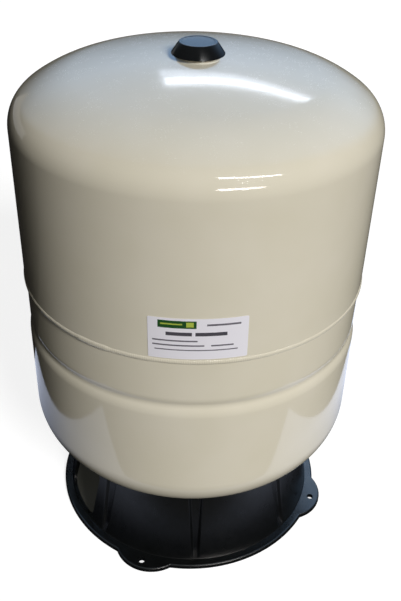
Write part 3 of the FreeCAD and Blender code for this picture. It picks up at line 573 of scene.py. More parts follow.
def air_boss():
    """The boss: flange on the dome, neck with a well for the stem, spigot through the dome's hole."""
    root = DOME_TOP_Z - BOSS_SPIGOT_DEPTH
    well_floor = DOME_TOP_Z + BOSS_WELL_FLOOR
    neck_end = BOSS_TOP_Z + BOSS_NECK_HEIGHT
    groove_outer = SEAL_GROOVE_RADIUS + SEAL_GROOVE_WIDTH
    groove_floor = well_floor - SEAL_GROOVE_DEPTH
    seat = [p for p in DOME.skin(0.0, BOSS_HOLE_RADIUS) if p[0] < BOSS_RADIUS][::-1]
    outline = [
        (BOSS_BORE_RADIUS, root), (BOSS_SPIGOT_RADIUS - BOSS_CHAMFER, root),
        (BOSS_SPIGOT_RADIUS, root + BOSS_CHAMFER), (BOSS_SPIGOT_RADIUS, DOME.height(BOSS_HOLE_RADIUS)[0])]
    outline += seat + [(BOSS_RADIUS, DOME.height(BOSS_RADIUS)[0])]
    outline += arc(BOSS_RADIUS - BOSS_CHAMFER, BOSS_TOP_Z - BOSS_CHAMFER, BOSS_CHAMFER, 0, 90, 15)
    outline += [
        (BOSS_NECK_RADIUS, BOSS_TOP_Z), (BOSS_NECK_RADIUS, neck_end - BOSS_CHAMFER),
        (BOSS_NECK_RADIUS - BOSS_CHAMFER, neck_end), (BOSS_WELL_RADIUS + BOSS_WELL_EDGE, neck_end),
        (BOSS_WELL_RADIUS, neck_end - BOSS_WELL_EDGE), (BOSS_WELL_RADIUS, well_floor),
        (groove_outer, well_floor), (groove_outer, groove_floor), (SEAL_GROOVE_RADIUS, groove_floor),
        (SEAL_GROOVE_RADIUS, well_floor), (BOSS_BORE_RADIUS, well_floor)]
    return lathe("painted_air_boss", outline, ENAMEL)


def air_cap():
    """The screw cap: a recess for its seal, a plain bore, a steep cone and a shallow dish in the top."""
    roof = CAP_TOP_Z - CAP_ROOF
    recess_z = CAP_FOOT_Z + CAP_SEAL_DEPTH
    slope = math.degrees(math.atan2(CAP_HEIGHT - CAP_LIP - CAP_TOP_ROUND, CAP_BASE_RADIUS - CAP_TOP_RADIUS))
    rim_r = CAP_TOP_RADIUS - CAP_TOP_ROUND
    lip_z = CAP_FOOT_Z + CAP_LIP
    dish_r = rim_r - CAP_RIM - CAP_DISH
    dish_z = CAP_TOP_Z - CAP_DISH
    outline = [
        (0, roof), (CAP_BORE_RADIUS - CAP_BORE_CHAMFER, roof), (CAP_BORE_RADIUS, roof - CAP_BORE_CHAMFER),
        (CAP_BORE_RADIUS, recess_z), (CAP_RECESS_RADIUS, recess_z), (CAP_RECESS_RADIUS, CAP_FOOT_Z)]
    outline += arc(CAP_BASE_RADIUS - CAP_FOOT_ROUND, CAP_FOOT_Z + CAP_FOOT_ROUND,
                   CAP_FOOT_ROUND, -90, 0, 22.5)
    outline += arc(CAP_BASE_RADIUS - CAP_LIP_ROUND, lip_z - CAP_LIP_ROUND, CAP_LIP_ROUND, 0, 90 - slope, 22.5)
    outline += arc(rim_r, CAP_TOP_Z - CAP_TOP_ROUND, CAP_TOP_ROUND, 90 - slope, 90, 9)
    outline += arc(rim_r - CAP_RIM + CAP_RIM_ROUND, CAP_TOP_Z - CAP_RIM_ROUND, CAP_RIM_ROUND, 90, 135, 15)
    outline += [(dish_r, dish_z + CAP_DISH_EASE), (dish_r - CAP_DISH, dish_z), (0, dish_z)]
    return lathe("screw_air_cap", outline, CAP_PLASTIC, closed=False)


# Stand


def stand_radius(z):
    """Outer radius of the stand's tapered wall at a level."""
    return STAND_FOOT_RADIUS + (STAND_TOP_RADIUS - STAND_FOOT_RADIUS) * z / STAND_TOP_Z


def under_lip(r):
    """Level of the seat lip's underside."""
    level, lean = BOTTOM.height(STUD_SEAT_RADIUS)
    return level + (r - STUD_SEAT_RADIUS) * math.tan(lean) - SEAT_LIP_HEIGHT / math.cos(lean)


def nearest(angle, count, first):
    """How far an angle is from the nearest of some evenly spaced ones."""
    pitch = FULL_TURN / count
    return (angle - first + pitch / 2) % pitch - pitch / 2


def groove(angle, z, spare):
    """Depth of a flute at a place on the wall, its bends eased as a mould leaves them."""
    across = abs(stand_radius(z) * math.sin(nearest(angle, FLUTE_COUNT, math.pi / FLUTE_COUNT)))
    half = (FLUTE_FOOT_WIDTH + (FLUTE_TOP_WIDTH - FLUTE_FOOT_WIDTH) * z / STAND_TOP_Z) / 2 + spare
    share = min(max((half - across) / FLUTE_FLANK, 0.0), 1.0)
    foot = min(max((z - FOOT_HEIGHT) / FLUTE_RUN_OUT, 0.0), 1.0)
    return FLUTE_DEPTH * share * share * (3 - 2 * share) * (foot if spare == 0.0 else 1.0)


def flange_radius(angle):
    """Radius of the foot's edge, out to the lugs."""
    off = nearest(angle, LUG_COUNT, math.pi / LUG_COUNT)
    inside = LUG_RADIUS ** 2 - (LUG_CENTRE_RADIUS * math.sin(off)) ** 2
    lug = LUG_CENTRE_RADIUS * math.cos(off) + math.sqrt(inside) if inside > 0 else 0.0
    return max(FOOT_RADIUS, lug)


def stand_outline(angle):
    """The stand's section at an angle from its front: the foot, up the outside and down the inside."""
    edge = flange_radius(angle)
    outline = arc(edge - FOOT_EDGE_ROUND, FOOT_EDGE_ROUND, FOOT_EDGE_ROUND, -90, 0, 30)
    outline += arc(edge - FOOT_ROUND, FOOT_HEIGHT - FOOT_ROUND, FOOT_ROUND, 0, 90, 11.25)
    junction = stand_radius(FOOT_HEIGHT)
    outline += [(junction + FOOT_JUNCTION_ROUND, FOOT_HEIGHT), (junction, FOOT_HEIGHT + FOOT_JUNCTION_ROUND),
                (stand_radius(STAND_WALL_START_Z), STAND_WALL_START_Z)]
    top_z = BOTTOM.height(STAND_TOP_RADIUS - groove(angle, FLUTE_TOP_Z, 0.0))[0] - SEAT_GAP
    for k in range(1, STAND_WALL_STEPS + 1):
        z = STAND_WALL_START_Z + (top_z - STAND_WALL_START_Z) * k / STAND_WALL_STEPS
        outline.append((stand_radius(z) - groove(angle, z, 0.0), z))
    top_r = outline[-1][0]
    for k in range(1, SEAT_LIP_STEPS + 1):
        r = top_r + (LIP_INNER_RADIUS - top_r) * k / SEAT_LIP_STEPS
        outline.append((r, BOTTOM.height(r)[0] - SEAT_GAP))
    outline.append((LIP_INNER_RADIUS, under_lip(LIP_INNER_RADIUS)))
    for k in range(STAND_WALL_STEPS + 1):
        z = STAND_INSIDE_TOP_Z * (1 - k / STAND_WALL_STEPS)
        r = stand_radius(z) - STAND_WALL - groove(angle, z, STAND_WALL)
        outline.append((r, under_lip(r) if k == 0 else z))
    return outline


def stand_angles():
    """Angles round the stand, close together across each flute and at the lugs' corners."""
    found = {round(math.radians(d), 6) for d in range(360)}

    def crowd(centre, step, reach):
        turns = [math.radians(step * s) for s in range(-reach, reach + 1)]
        found.update(round((centre + turn) % FULL_TURN, 6) for turn in turns)

    for k in range(FLUTE_COUNT):
        crowd(math.pi / FLUTE_COUNT + FULL_TURN * k / FLUTE_COUNT, step=0.2, reach=24)
    corner = math.acos((LUG_CENTRE_RADIUS ** 2 + FOOT_RADIUS ** 2 - LUG_RADIUS ** 2)
                       / (2 * LUG_CENTRE_RADIUS * FOOT_RADIUS))
    for k in range(LUG_COUNT):
        for side in (-corner, corner):
            crowd(math.pi / LUG_COUNT + FULL_TURN * k / LUG_COUNT + side, step=0.25, reach=2)
    closest = math.radians(0.12)
    spread = []
    for angle in sorted(found):
        if not spread or angle - spread[-1] > closest:
            spread.append(angle)
    return spread


def cutter(name, outline, low, high):
    """A plain prism to cut with, from corners in millimetres, drawn in the XY plane and pushed up in Z."""
    bm = bmesh.new()
    floor = [bm.verts.new((x * MM, y * MM, low * MM)) for x, y in outline]
    roof = [bm.verts.new((x * MM, y * MM, high * MM)) for x, y in outline]
    bm.faces.new(floor)
    bm.faces.new(roof)
    for k in range(len(outline)):
        after = (k + 1) % len(outline)
        bm.faces.new((floor[k], floor[after], roof[after], roof[k]))
    return piece_from(name, bm, [])


def cut(piece, tools):
    """Cuts each tool out of a piece and removes the tool."""
    for tool in tools:
        modifier = piece.modifiers.new("cut", "BOOLEAN")
        modifier.operation = "DIFFERENCE"
        modifier.solver = "EXACT"
        modifier.object = tool
    baked(piece)
    for tool in tools:
        bpy.data.objects.remove(tool)


def baked(piece):
    """Replaces a piece's mesh by the result of its modifiers, and removes them."""
    bpy.context.view_layer.update()
    depsgraph = bpy.context.evaluated_depsgraph_get()
    mesh = bpy.data.meshes.new_from_object(piece.evaluated_get(depsgraph), depsgraph=depsgraph)
    piece.modifiers.clear()
    piece.data = mesh
    mesh.name = piece.name
    return piece


def bolt_hole_tool(angle):
    """A round prism that cuts one lug's bolt hole."""
    x, y = LUG_PITCH_RADIUS * math.cos(angle), LUG_PITCH_RADIUS * math.sin(angle)
    turns = [FULL_TURN * s / LUG_HOLE_SIDES for s in range(LUG_HOLE_SIDES)]
    ring = [(x + LUG_HOLE_RADIUS * math.cos(turn), y + LUG_HOLE_RADIUS * math.sin(turn)) for turn in turns]
    return cutter("bolt_hole_tool", ring, LUG_HOLE_CUT_FOOT, LUG_HOLE_CUT_TOP)


def window_tool():
    """An arched prism that cuts the pipe window, laid down so that it points along -X."""
    half, top, sill = WINDOW_WIDTH / 2, WINDOW_ROUND, WINDOW_SILL_ROUND
    arch = arc(half - top, WINDOW_TOP_Z - top, top, 0, 90)
    arch += arc(top - half, WINDOW_TOP_Z - top, top, 90, 180)
    arch += arc(sill - half, WINDOW_SILL_Z + sill, sill, 180, 270)
    arch += arc(half - sill, WINDOW_SILL_Z + sill, sill, 270, 360)
    tool = cutter("window_tool", arch, WINDOW_CUT_START, WINDOW_CUT_END)
    tool.data.transform(Matrix(((0, 0, -1, 0), (-1, 0, 0, 0), (0, 1, 0, 0), (0, 0, 0, 1))))
    return tool


def stand():
    """The one moulding: foot with lugs, fluted wall and seat lip, then its holes and window cut out."""
    body = lathe("moulded_stand", stand_outline, STAND_PLASTIC, angles=stand_angles())
    holes = [bolt_hole_tool(math.pi / LUG_COUNT + FULL_TURN * k / LUG_COUNT) for k in range(LUG_COUNT)]
    cut(body, holes + [window_tool()])
    body.data.transform(Matrix.Rotation(STAND_TURN, 4, "Z"))
    body.data.set_sharp_from_angle(angle=math.radians(STAND_SHARP_ANGLE))
    return body


# Label


def on_label(u, v, r):
    """Where a spot of the label lies on the wall, its corners rounded and the whole a little askew."""
    side = min(u, LABEL_WIDTH - u)
    if side < LABEL_CORNER:
        trim = LABEL_CORNER - math.sqrt(LABEL_CORNER ** 2 - (LABEL_CORNER - side) ** 2)
        v = min(max(v, trim), LABEL_HEIGHT - trim)
    x, z = u - LABEL_WIDTH / 2, v - LABEL_HEIGHT / 2
    turned_x = x * math.cos(LABEL_TILT) - z * math.sin(LABEL_TILT)
    turned_z = x * math.sin(LABEL_TILT) + z * math.cos(LABEL_TILT)
    angle = -math.pi / 2 + turned_x / TANK_RADIUS
    return (r * math.cos(angle) * MM, r * math.sin(angle) * MM,
            (LABEL_FOOT_Z + LABEL_HEIGHT / 2 + turned_z) * MM)


def label():
    """White label bent round the tank, with plain colour fields where a maker prints."""
    across = {LABEL_WIDTH * k / LABEL_STEPS_ACROSS for k in range(LABEL_STEPS_ACROSS + 1)}
    up = {LABEL_HEIGHT * k / LABEL_STEPS_UP for k in range(LABEL_STEPS_UP + 1)}
    for left, right, low, high, _ in LABEL_FIELDS:
        across |= {left, right}
        up |= {low, high}
    steps = [LABEL_CORNER * k / LABEL_CORNER_STEPS for k in range(1, LABEL_CORNER_STEPS + 1)]
    across |= set(steps) | {LABEL_WIDTH - s for s in steps}
    across, up = sorted(across), sorted(up)
    bm = bmesh.new()
    layers = []
    for r in (TANK_RADIUS + LABEL_GLUE, TANK_RADIUS + LABEL_GLUE + LABEL_THICKNESS):
        layers.append([[bm.verts.new(on_label(u, v, r)) for v in up] for u in across])
    back, front = layers
    for i in range(len(across) - 1):
        for j in range(len(up) - 1):
            face = bm.faces.new((front[i][j], front[i + 1][j], front[i + 1][j + 1], front[i][j + 1]))
            u, v = (across[i] + across[i + 1]) / 2, (up[j] + up[j + 1]) / 2
            for left, right, low, high, ink in LABEL_FIELDS:
                if left < u < right and low < v < high:
                    face.material_index = ink
            bm.faces.new((back[i][j], back[i][j + 1], back[i + 1][j + 1], back[i + 1][j]))
    for i in range(len(across) - 1):
        for j in (0, len(up) - 1):
            bm.faces.new((front[i][j], back[i][j], back[i + 1][j], front[i + 1][j]))
    for j in range(len(up) - 1):
        for i in (0, len(across) - 1):
            bm.faces.new((front[i][j], front[i][j + 1], back[i][j + 1], back[i][j]))
    bmesh.ops.remove_doubles(bm, verts=bm.verts, dist=1e-6)
    return piece_from("tank_label", bm, LABEL_FINISHES)


# Things that follow a path: the weld bead and the screw threads


def path_tree(name, sizes, material, build):
    """A node tree with named sizes that makes a piece along a path."""
    tree = bpy.data.node_groups.new(name, "GeometryNodeTree")
    tree.interface.new_socket(name="Geometry", in_out="OUTPUT", socket_type="NodeSocketGeometry")
    sockets = {}
    for key, value in sizes.items():
        socket = tree.interface.new_socket(name=key, in_out="INPUT", socket_type="NodeSocketFloat")
        socket.default_value = value
        sockets[key] = socket.identifier
    given = add(tree, "NodeGroupInput")
    shape = build(tree, given.outputs)
    solid = add(tree, "GeometryNodeRealizeInstances", {"Geometry": shape}).outputs[0]
    smooth = add(tree, "GeometryNodeSetShadeSmooth", {"Geometry": solid}).outputs[0]
    coloured = add(tree, "GeometryNodeSetMaterial", {"Geometry": smooth, "Material": material}).outputs[0]
    add(tree, "NodeGroupOutput", {0: coloured})
    return tree, sockets


def grown(name, tree, sockets, sizes):
    """Runs a node tree on an empty mesh, and keeps the result as a plain piece."""
    piece = shown(name, bpy.data.meshes.new(name))
    modifier = piece.modifiers.new(name, "NODES")
    modifier.node_group = tree
    for key, value in sizes.items():
        modifier[sockets[key]] = value
    return baked(piece)


def bead_build(tree, given):
    """The bead's nodes: a squeezed tube round the seam, pushed out by ripples, swells and the overlap."""
    path = add(tree, "GeometryNodeCurvePrimitiveCircle", {
        "Resolution": BEAD_PATH_STEPS, "Radius": given["Seam radius"]})
    upright = add(tree, "GeometryNodeSetCurveNormal", {"Curve": path.outputs["Curve"]}, mode="Z_UP")
    section = add(tree, "GeometryNodeCurvePrimitiveCircle", {"Resolution": BEAD_SECTION_STEPS, "Radius": 1.0})
    shape = add(tree, "ShaderNodeCombineXYZ", {
        0: given["Bead half width"], 1: given["Bead half height"], 2: 1.0})
    squeezed = add(tree, "GeometryNodeTransform", {
        "Geometry": section.outputs["Curve"], "Scale": shape.outputs[0]})
    tube = add(tree, "GeometryNodeCurveToMesh", {
        "Curve": upright.outputs[0], "Profile Curve": squeezed.outputs[0], "Fill Caps": False})
    spot = add(tree, "ShaderNodeSeparateXYZ", {0: add(tree, "GeometryNodeInputPosition").outputs[0]})
    azimuth = maths(tree, "ARCTAN2", spot.outputs[1], spot.outputs[0])
    wave = maths(tree, "SINE", maths(tree, "MULTIPLY", azimuth, given["Ripples"]))
    swells = add(tree, "ShaderNodeTexNoise", {"Scale": 1 / (SWELL_LENGTH * MM), "Detail": 1.0}).outputs["Fac"]
    swell = maths(tree, "MULTIPLY", maths(tree, "SUBTRACT", swells, 0.5), given["Swell height"])
    raised = maths(tree, "MULTIPLY_ADD", wave, given["Ripple height"], swell)
    off = maths(tree, "ABSOLUTE", maths(tree, "SUBTRACT", azimuth, given["Lap azimuth"]))
    away = maths(tree, "DIVIDE", off, given["Lap half angle"])
    lap = ramp(tree, away, OVERLAP_FADE_START, OVERLAP_FADE_END, kind="SMOOTHSTEP")
    lap_height = maths(tree, "MULTIPLY", lap, given["Lap height"])
    normal = add(tree, "GeometryNodeInputNormal").outputs[0]
    push = vectors(tree, "SCALE", {0: normal, 3: raised}).outputs[0]
    lean = vectors(tree, "MULTIPLY", {0: normal, 1: OVERLAP_LEAN}).outputs[0]
    lapped = vectors(tree, "SCALE", {0: lean, 3: lap_height}).outputs[0]
    both = vectors(tree, "ADD", {0: push, 1: lapped}).outputs[0]
    moved = add(tree, "GeometryNodeSetPosition", {"Geometry": tube.outputs[0], "Offset": both}).outputs[0]
    level = add(tree, "ShaderNodeCombineXYZ", {2: given["Seam level"]}).outputs[0]
    return add(tree, "GeometryNodeTransform", {"Geometry": moved, "Translation": level}).outputs[0]


def seam_weld():
    """The fillet weld's bead: close ripples, slight swells, and the overlap where it starts and ends."""
    sizes = {
        "Seam radius": (TANK_RADIUS - BEAD_INSET) * MM, "Seam level": SEAM_Z * MM,
        "Bead half width": BEAD_HALF_WIDTH * MM, "Bead half height": BEAD_HALF_HEIGHT * MM,
        "Ripples": RIPPLE_COUNT, "Ripple height": RIPPLE_HEIGHT * MM, "Swell height": SWELL_HEIGHT * MM,
        "Lap azimuth": math.radians(OVERLAP_AZIMUTH), "Lap half angle": math.radians(OVERLAP_HALF_ANGLE),
        "Lap height": OVERLAP_SWELL * MM}
    tree, sockets = path_tree("weld_bead", sizes, ENAMEL, bead_build)
    return grown("seam_weld_bead", tree, sockets, sizes)


def thread_build(tree, given):
    """The thread's nodes: a small ridge along a helix, lifted to its level."""
    turns = maths(tree, "DIVIDE", given["Length"], given["Pitch"])
    helix = add(tree, "GeometryNodeCurveSpiral", {
        "Resolution": HELIX_STEPS, "Rotations": turns, "Start Radius": given["Radius"],
        "End Radius": given["Radius"], "Height": given["Length"]})
    upright = add(tree, "GeometryNodeSetCurveNormal", {"Curve": helix.outputs[0]}, mode="Z_UP")
    section = add(tree, "GeometryNodeCurvePrimitiveCircle", {"Resolution": 4, "Radius": given["Ridge"]})
    ridge = add(tree, "GeometryNodeCurveToMesh", {
        "Curve": upright.outputs[0], "Profile Curve": section.outputs[0], "Fill Caps": True})
    level = add(tree, "ShaderNodeCombineXYZ", {2: given["Foot level"]}).outputs[0]
    return add(tree, "GeometryNodeTransform", {"Geometry": ridge.outputs[0], "Translation": level}).outputs[0]


def thread(name, material, radius, pitch, low, high, ridge):
    """A screw thread's ridge on a cylinder of this radius, from a low level to a high one."""
    sizes = {"Radius": (radius - THREAD_SUNK) * MM, "Pitch": pitch * MM, "Length": (high - low) * MM,
             "Foot level": low * MM, "Ridge": ridge * MM}
    tree, sockets = path_tree(name + "_helix", sizes, material, thread_build)
    return grown(name, tree, sockets, sizes)


def settle(piece, body, slot, *nodes):
    """Joins a piece to what it moves with, and hides the solids it stands for. Its slot is not used."""
    if nodes:
        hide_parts(*nodes)
    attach(piece, body)


def valve_spring():
    """The wound spring under the pin's collar, which in use shortens by the pin's travel as the pin is
    pressed; here it is one smooth piece, unchanged.
    """
    solid = frame["nodes"]["core_spring"]
    bm = bmesh.new()
    bm.from_mesh(solid.data)
    bm.transform(solid.matrix_world)
    bmesh.ops.remove_doubles(bm, verts=bm.verts, dist=0.001 * MM)
    spring = piece_from("wound_valve_spring", bm, [SPRING_WIRE])
    settle(spring, "tank", "spring_steel", "core_spring")
    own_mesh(spring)


def mirror_free(piece):
    """Leaves a piece out of the gloss: the photo's dome mirrors the sky right up to the boss."""
    piece.visible_glossy = False
    return piece


valve_spring()
settle(upper_shell(), "tank", "enamel", "upper_shell")
settle(lower_shell(), "tank", "enamel", "lower_shell")
settle(seam_weld(), "tank", "enamel", "seam_weld")
settle(air_boss(), "tank", "enamel", "air_boss")
settle(mirror_free(air_cap()), "cap", "cap_plastic", "air_cap")
settle(stand(), "tank", "stand_plastic", "stand")
settle(label(), "tank", "label_film", "label")
settle(thread("boss_thread", ENAMEL, BOSS_NECK_RADIUS, pitch=2.0, low=BOSS_TOP_Z + THREAD_MARGIN,
              high=BOSS_TOP_Z + BOSS_NECK_HEIGHT - THREAD_MARGIN, ridge=0.28), "tank", "enamel")
settle(thread("port_pipe_thread", STAINLESS, PORT_THREAD_RADIUS, pitch=1.34,
              low=NUT_END_Z - PORT_THREAD_LENGTH + THREAD_MARGIN,
              high=NUT_END_Z - THREAD_MARGIN, ridge=0.34), "tank", "stainless")
settle(thread("port_body_thread", STAINLESS, PORT_BODY_RADIUS, pitch=1.5, low=NUT_END_Z + PORT_BODY_LEAD,
              high=NUT_END_Z + PORT_TAIL, ridge=0.30), "tank", "stainless")


# Camera, set to the place the photograph was taken from. From here on lengths are in metres.

PHOTO_LONG_SIDE = 601
FOCAL_LENGTH_IN_PIXELS = 807.1
SENSOR_MM = 36.0
CAMERA_AZIMUTH = -91.8
CAMERA_REACH = 0.7364
CAMERA_HEIGHT = 0.7706
CAMERA_HEADING = math.radians(2.48)
CAMERA_PITCH = math.radians(34.67)
CAMERA_ROLL = math.radians(1.66)


def toward(azimuth_deg, elevation_deg, distance, origin=(0, 0, 0)):
    """The point at a distance from the origin, in the direction of an azimuth and an elevation."""
    a, e = math.radians(azimuth_deg), math.radians(elevation_deg)
    way = Vector((math.cos(a) * math.cos(e), math.sin(a) * math.cos(e), math.sin(e)))
    return Vector(origin) + distance * way


def photo_camera():
    """The camera, turned by its heading, tipped down by its pitch and rolled about its line of sight."""
    lens = bpy.data.cameras.new("camera")
    lens.sensor_width = SENSOR_MM
    lens.lens = FOCAL_LENGTH_IN_PIXELS / PHOTO_LONG_SIDE * SENSOR_MM
    camera = shown("camera", lens)
    forward = Vector((math.sin(CAMERA_HEADING) * math.cos(CAMERA_PITCH),
                      math.cos(CAMERA_HEADING) * math.cos(CAMERA_PITCH), -math.sin(CAMERA_PITCH)))
    level_right = Vector((math.cos(CAMERA_HEADING), -math.sin(CAMERA_HEADING), 0))
    level_up = level_right.cross(forward)
    right = level_right * math.cos(CAMERA_ROLL) + level_up * math.sin(CAMERA_ROLL)
    up = level_up * math.cos(CAMERA_ROLL) - level_right * math.sin(CAMERA_ROLL)
    stance = Matrix((right, up, -forward)).transposed().to_4x4()
    stance.translation = toward(CAMERA_AZIMUTH, 0, CAMERA_REACH, (0, 0, CAMERA_HEIGHT))
    camera.matrix_world = stance
    bpy.context.scene.camera = camera


photo_camera()


# Studio: pale floor, soft key lamp, a tent and light strips that show only in the gloss

FLOOR_Z = -0.0006
FLOOR_CORNERS = [(-20, -20), (20, -20), (20, 20), (-20, 20)]
PAPER_Z = -0.0004
PAPER_CORNERS = [(-0.345, -0.262), (0.350, -0.232), (0.335, 0.60), (-0.33, 0.60)]
# Disc of painted shade on the ground inside the stand
SHADE_Z = -0.0002
SHADE_RADIUS = 0.1448
SHADE_SIDES = 72
PAPER_SHARE = 0.32
PAPER_GLOW = 0.86
# Reach of the painted shade round the stand on the paper's glow, and the span of its painted left-to-right
# shading
STAND_SHADE_INNER = 0.20
STAND_SHADE_OUTER = 0.33
GLOW_LEFT_X = -0.32
GLOW_RIGHT_X = 0.10
TENT_RADIUS = 8.0
TENT_STOPS = [(0.0, "#1C1B17"), (0.15, "#343433"), (0.50, "#767B7D"), (1.0, "#A3ADB1")]
SKY_WAY = (78, 48)
SKY_STRENGTH = 2.2
CARD_Y = 0.21
CARD_TOP = 0.44
CARD_DISTANCE = 4.0
STRIP_DISTANCE = 3.0
STRIP_SPACING = 0.1
DOME_FRONT = (0.0, -0.08, 0.529)
KNUCKLE_FRONT = (0.05, -0.17, 0.49)


def stage_sheet(name, corners, material):
    """A flat sheet of the studio."""
    mesh = bpy.data.meshes.new(name)
    mesh.from_pydata([tuple(c) for c in corners], [], [list(range(len(corners)))])
    mesh.materials.append(material)
    sheet = shown(name, mesh)
    return sheet


def only_in_gloss(sheet):
    """Shows a sheet in mirror images alone."""
    for rays in ("camera", "diffuse", "transmission", "shadow", "volume_scatter"):
        setattr(sheet, "visible_" + rays, False)


def blank(name):
    """A new material with an empty node tree."""
    material = bpy.data.materials.new(name)
    material.use_nodes = True
    material.node_tree.nodes.clear()
    return material, material.node_tree


def mirrored_sheet(name, corners, strength, colour="#FFFFFF"):
    """A sheet that gives an even light, and that only the gloss shows."""
    material, tree = blank(name)
    lit = add(tree, "ShaderNodeEmission", {"Color": linear(colour), "Strength": strength})
    add(tree, "ShaderNodeOutputMaterial", {"Surface": lit.outputs[0]})
    only_in_gloss(stage_sheet(name, corners, material))


def floor_material(name, gloss_colour, bounce_colour, stand_shade_share=1.0, left_glow=1.0, right_glow=1.0):
    """White to the camera, with a soft shadow; in the gloss a glow of its own colour, with painted shade
    beside the stand, darker to the left and brighter to the right.
    """
    material, tree = blank(name)
    rays = add(tree, "ShaderNodeLightPath")
    paper = add(tree, "ShaderNodeBsdfDiffuse", {"Color": (PAPER_SHARE, PAPER_SHARE, PAPER_SHARE, 1)})
    sheen = add(tree, "ShaderNodeEmission", {"Color": (1, 1, 1, 1), "Strength": PAPER_GLOW})
    seen = add(tree, "ShaderNodeAddShader", {0: paper.outputs[0], 1: sheen.outputs[0]})
    place = object_place(tree)
    reach = vectors(tree, "LENGTH", {0: place}).outputs["Value"]
    # Painted shade: the glow seen in the gloss fades close to the stand.
    dim = ramp(tree, reach, STAND_SHADE_INNER, STAND_SHADE_OUTER, dark=stand_shade_share, light=1.0)
    across = add(tree, "ShaderNodeSeparateXYZ", {0: place}).outputs["X"]
    # Painted light and shade: the glow is dimmer to the left and brighter to the right.
    side = ramp(tree, across, GLOW_LEFT_X, GLOW_RIGHT_X, dark=left_glow, light=right_glow)
    shine = maths(tree, "MULTIPLY", dim, side)
    gloss = add(tree, "ShaderNodeEmission", {"Color": linear(gloss_colour), "Strength": shine})
    bounce = add(tree, "ShaderNodeBsdfDiffuse", {"Color": linear(bounce_colour)})
    other = add(tree, "ShaderNodeMixShader", {
        0: rays.outputs["Is Glossy Ray"], 1: bounce.outputs[0], 2: gloss.outputs[0]})
    both = add(tree, "ShaderNodeMixShader", {
        0: rays.outputs["Is Camera Ray"], 1: other.outputs[0], 2: seen.outputs[0]})
    add(tree, "ShaderNodeOutputMaterial", {"Surface": both.outputs[0]})
    return material


def floors():
    """The studio floor, a paler sheet of paper on it, and a darker disc of painted shade on the ground inside
    the stand.
    """
    stage_sheet("floor", [(x, y, FLOOR_Z) for x, y in FLOOR_CORNERS],
                floor_material("studio_floor", "#3C3A34", "#444341"))
    # The paper's glow in the gloss carries painted shade by the stand and on the left, and painted light on
    # the right.
    stage_sheet("floor_sheet", [(x, y, PAPER_Z) for x, y in PAPER_CORNERS],
                floor_material("paper_sheet", "#DCE6FF", "#343230", stand_shade_share=0.02, left_glow=0.82,
                               right_glow=1.2))
    # A darker disc laid inside the stand: painted shade, lifted a little by a faint even painted glow.
    shade, _, shader = finish("painted_ground_shade", "#454440", 0.9)
    shader.inputs["Emission Color"].default_value = (1.0, 1.0, 0.85, 1.0)
    shader.inputs["Emission Strength"].default_value = 0.012
    rim = [toward(360 / SHADE_SIDES * k, 0, SHADE_RADIUS, (0, 0, SHADE_Z)) for k in range(SHADE_SIDES)]
    stage_sheet("painted_shade_under_stand", rim, shade)


def tent_glow():
    """Walls that brighten with height, and a blue patch of sky above them on the far side."""
    material, tree = blank("tent")
    outward = vectors(tree, "NORMALIZE", {0: object_place(tree)}).outputs[0]
    height = add(tree, "ShaderNodeSeparateXYZ", {0: outward}).outputs["Z"]
    fade = add(tree, "ShaderNodeValToRGB", {"Fac": height})
    while len(fade.color_ramp.elements) < len(TENT_STOPS):
        fade.color_ramp.elements.new(0.5)
    for element, (position, colour) in zip(fade.color_ramp.elements, TENT_STOPS):
        element.position = position
        element.color = linear(colour)
    sky_way = tuple(toward(*SKY_WAY, 1.0))
    aim = vectors(tree, "DOT_PRODUCT", {0: outward, 1: sky_way}).outputs["Value"]
    patch = ramp(tree, aim, 0.50, 0.95, kind="SMOOTHSTEP")
    above_the_floor = ramp(tree, height, -0.17, 0.40)
    strength = maths(tree, "MULTIPLY", maths(tree, "MULTIPLY", patch, above_the_floor), SKY_STRENGTH)
    sky = add(tree, "ShaderNodeEmission", {"Color": linear("#92BAE6"), "Strength": strength})
    wall = add(tree, "ShaderNodeEmission", {"Color": fade.outputs["Color"], "Strength": 1.0})
    light = add(tree, "ShaderNodeAddShader", {0: wall.outputs[0], 1: sky.outputs[0]})
    add(tree, "ShaderNodeOutputMaterial", {"Surface": light.outputs[0]})
    return material


def tent():
    """A round tent far outside the tank, which its gloss mirrors."""
    mesh = bpy.data.meshes.new("tent")
    bm = bmesh.new()
    bmesh.ops.create_uvsphere(bm, u_segments=64, v_segments=48, radius=TENT_RADIUS)
    bm.to_mesh(mesh)
    bm.free()
    mesh.materials.append(tent_glow())
    round_tent = shown("tent", mesh)
    only_in_gloss(round_tent)


def cards():
    """Two cards behind the tank on its left: a black one close by and a grey one further away."""
    left, right = -0.9, -0.05
    upright = [(left, 0), (right, 0), (right, CARD_TOP), (left, CARD_TOP)]
    mirrored_sheet("card_behind_left", [(x, CARD_Y, z) for x, z in upright], 0.01)
    far = [toward(a, e, CARD_DISTANCE) for a, e in ((120, 4), (152, 4), (152, 17), (120, 17))]
    mirrored_sheet("card_far_left", far, 0.45)


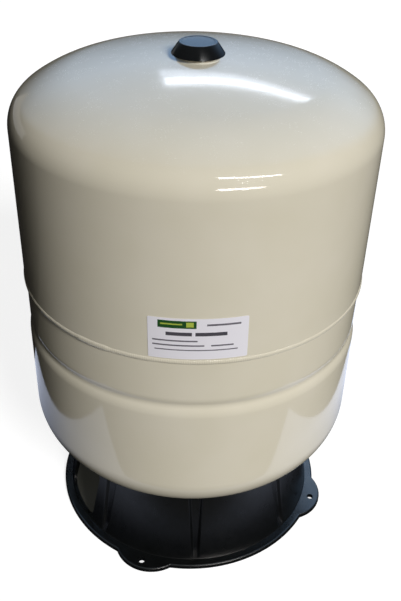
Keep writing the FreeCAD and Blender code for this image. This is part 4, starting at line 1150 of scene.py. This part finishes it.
# Strips of light by the place they are seen from, their corners' azimuths and elevations, strength and colour
STRIPS = [
    ("strip_behind", DOME_FRONT,
     [(94, 29.0), (94, 31.8), (82, 31.0), (67, 30.9), (67, 29.4), (82, 28.6)], 12.0, "#E4F0FF"),
    ("strip_haze", DOME_FRONT,
     [(94.6, 24.6), (94.6, 33.0), (82, 32.6), (66, 32.0), (66, 28.2), (82, 26.2)], 4.5, "#CFE3FF"),
    ("strip_high", KNUCKLE_FRONT,
     [(-77, 45), (-77, 49), (-55, 44), (-36, 35), (-36, 32), (-55, 40)], 24.0, "#FFFFFF"),
    ("strip_low", KNUCKLE_FRONT,
     [(-80, 11), (-80, 17), (-66, 16), (-52, 12), (-52, 9), (-66, 10)], 20.0, "#FFF6F2")]


def light_strips():
    """Narrow lights whose mirror images are the bright lines on the enamel."""
    for number, (name, origin, ways, strength, colour) in enumerate(STRIPS):
        distance = STRIP_DISTANCE + STRIP_SPACING * number
        mirrored_sheet(name, [toward(a, e, distance, origin) for a, e in ways], strength, colour)


def distant_lamp(name, way, angle_deg, brightness, colour):
    """A broad lamp far away, which shows in no gloss."""
    light = bpy.data.lights.new(name, "SUN")
    light.angle = math.radians(angle_deg)
    light.energy = brightness * math.pi
    light.color = colour
    lamp = shown(name, light)
    lamp.rotation_euler = (-toward(*way, 1.0)).to_track_quat("-Z", "Y").to_euler()
    lamp.visible_glossy = False


def surroundings():
    """White to the camera and in the gloss, dim to everything else."""
    world = bpy.data.worlds.new("studio")
    bpy.context.scene.world = world
    world.use_nodes = True
    tree = world.node_tree
    tree.nodes.clear()
    rays = add(tree, "ShaderNodeLightPath")
    white = add(tree, "ShaderNodeBackground", {"Color": (1, 1, 1, 1), "Strength": 1.0})
    ambient = add(tree, "ShaderNodeBackground", {"Color": linear("#F6F2E6"), "Strength": 0.026})
    mirrored = maths(tree, "MAXIMUM", rays.outputs["Is Glossy Ray"], rays.outputs["Is Transmission Ray"])
    seen = maths(tree, "MAXIMUM", rays.outputs["Is Camera Ray"], mirrored)
    sky = add(tree, "ShaderNodeMixShader", {0: seen, 1: ambient.outputs[0], 2: white.outputs[0]})
    add(tree, "ShaderNodeOutputWorld", {"Surface": sky.outputs[0]})


floors()
tent()
cards()
light_strips()
distant_lamp("key_lamp", (-60, 32), angle_deg=18, brightness=1.11, colour=(1.0, 1.0, 0.985))
distant_lamp("back_fill", (78, 3), angle_deg=40, brightness=0.38, colour=(0.92, 0.96, 1.0))
surroundings()

bpy.context.scene.view_settings.view_transform = "Standard"
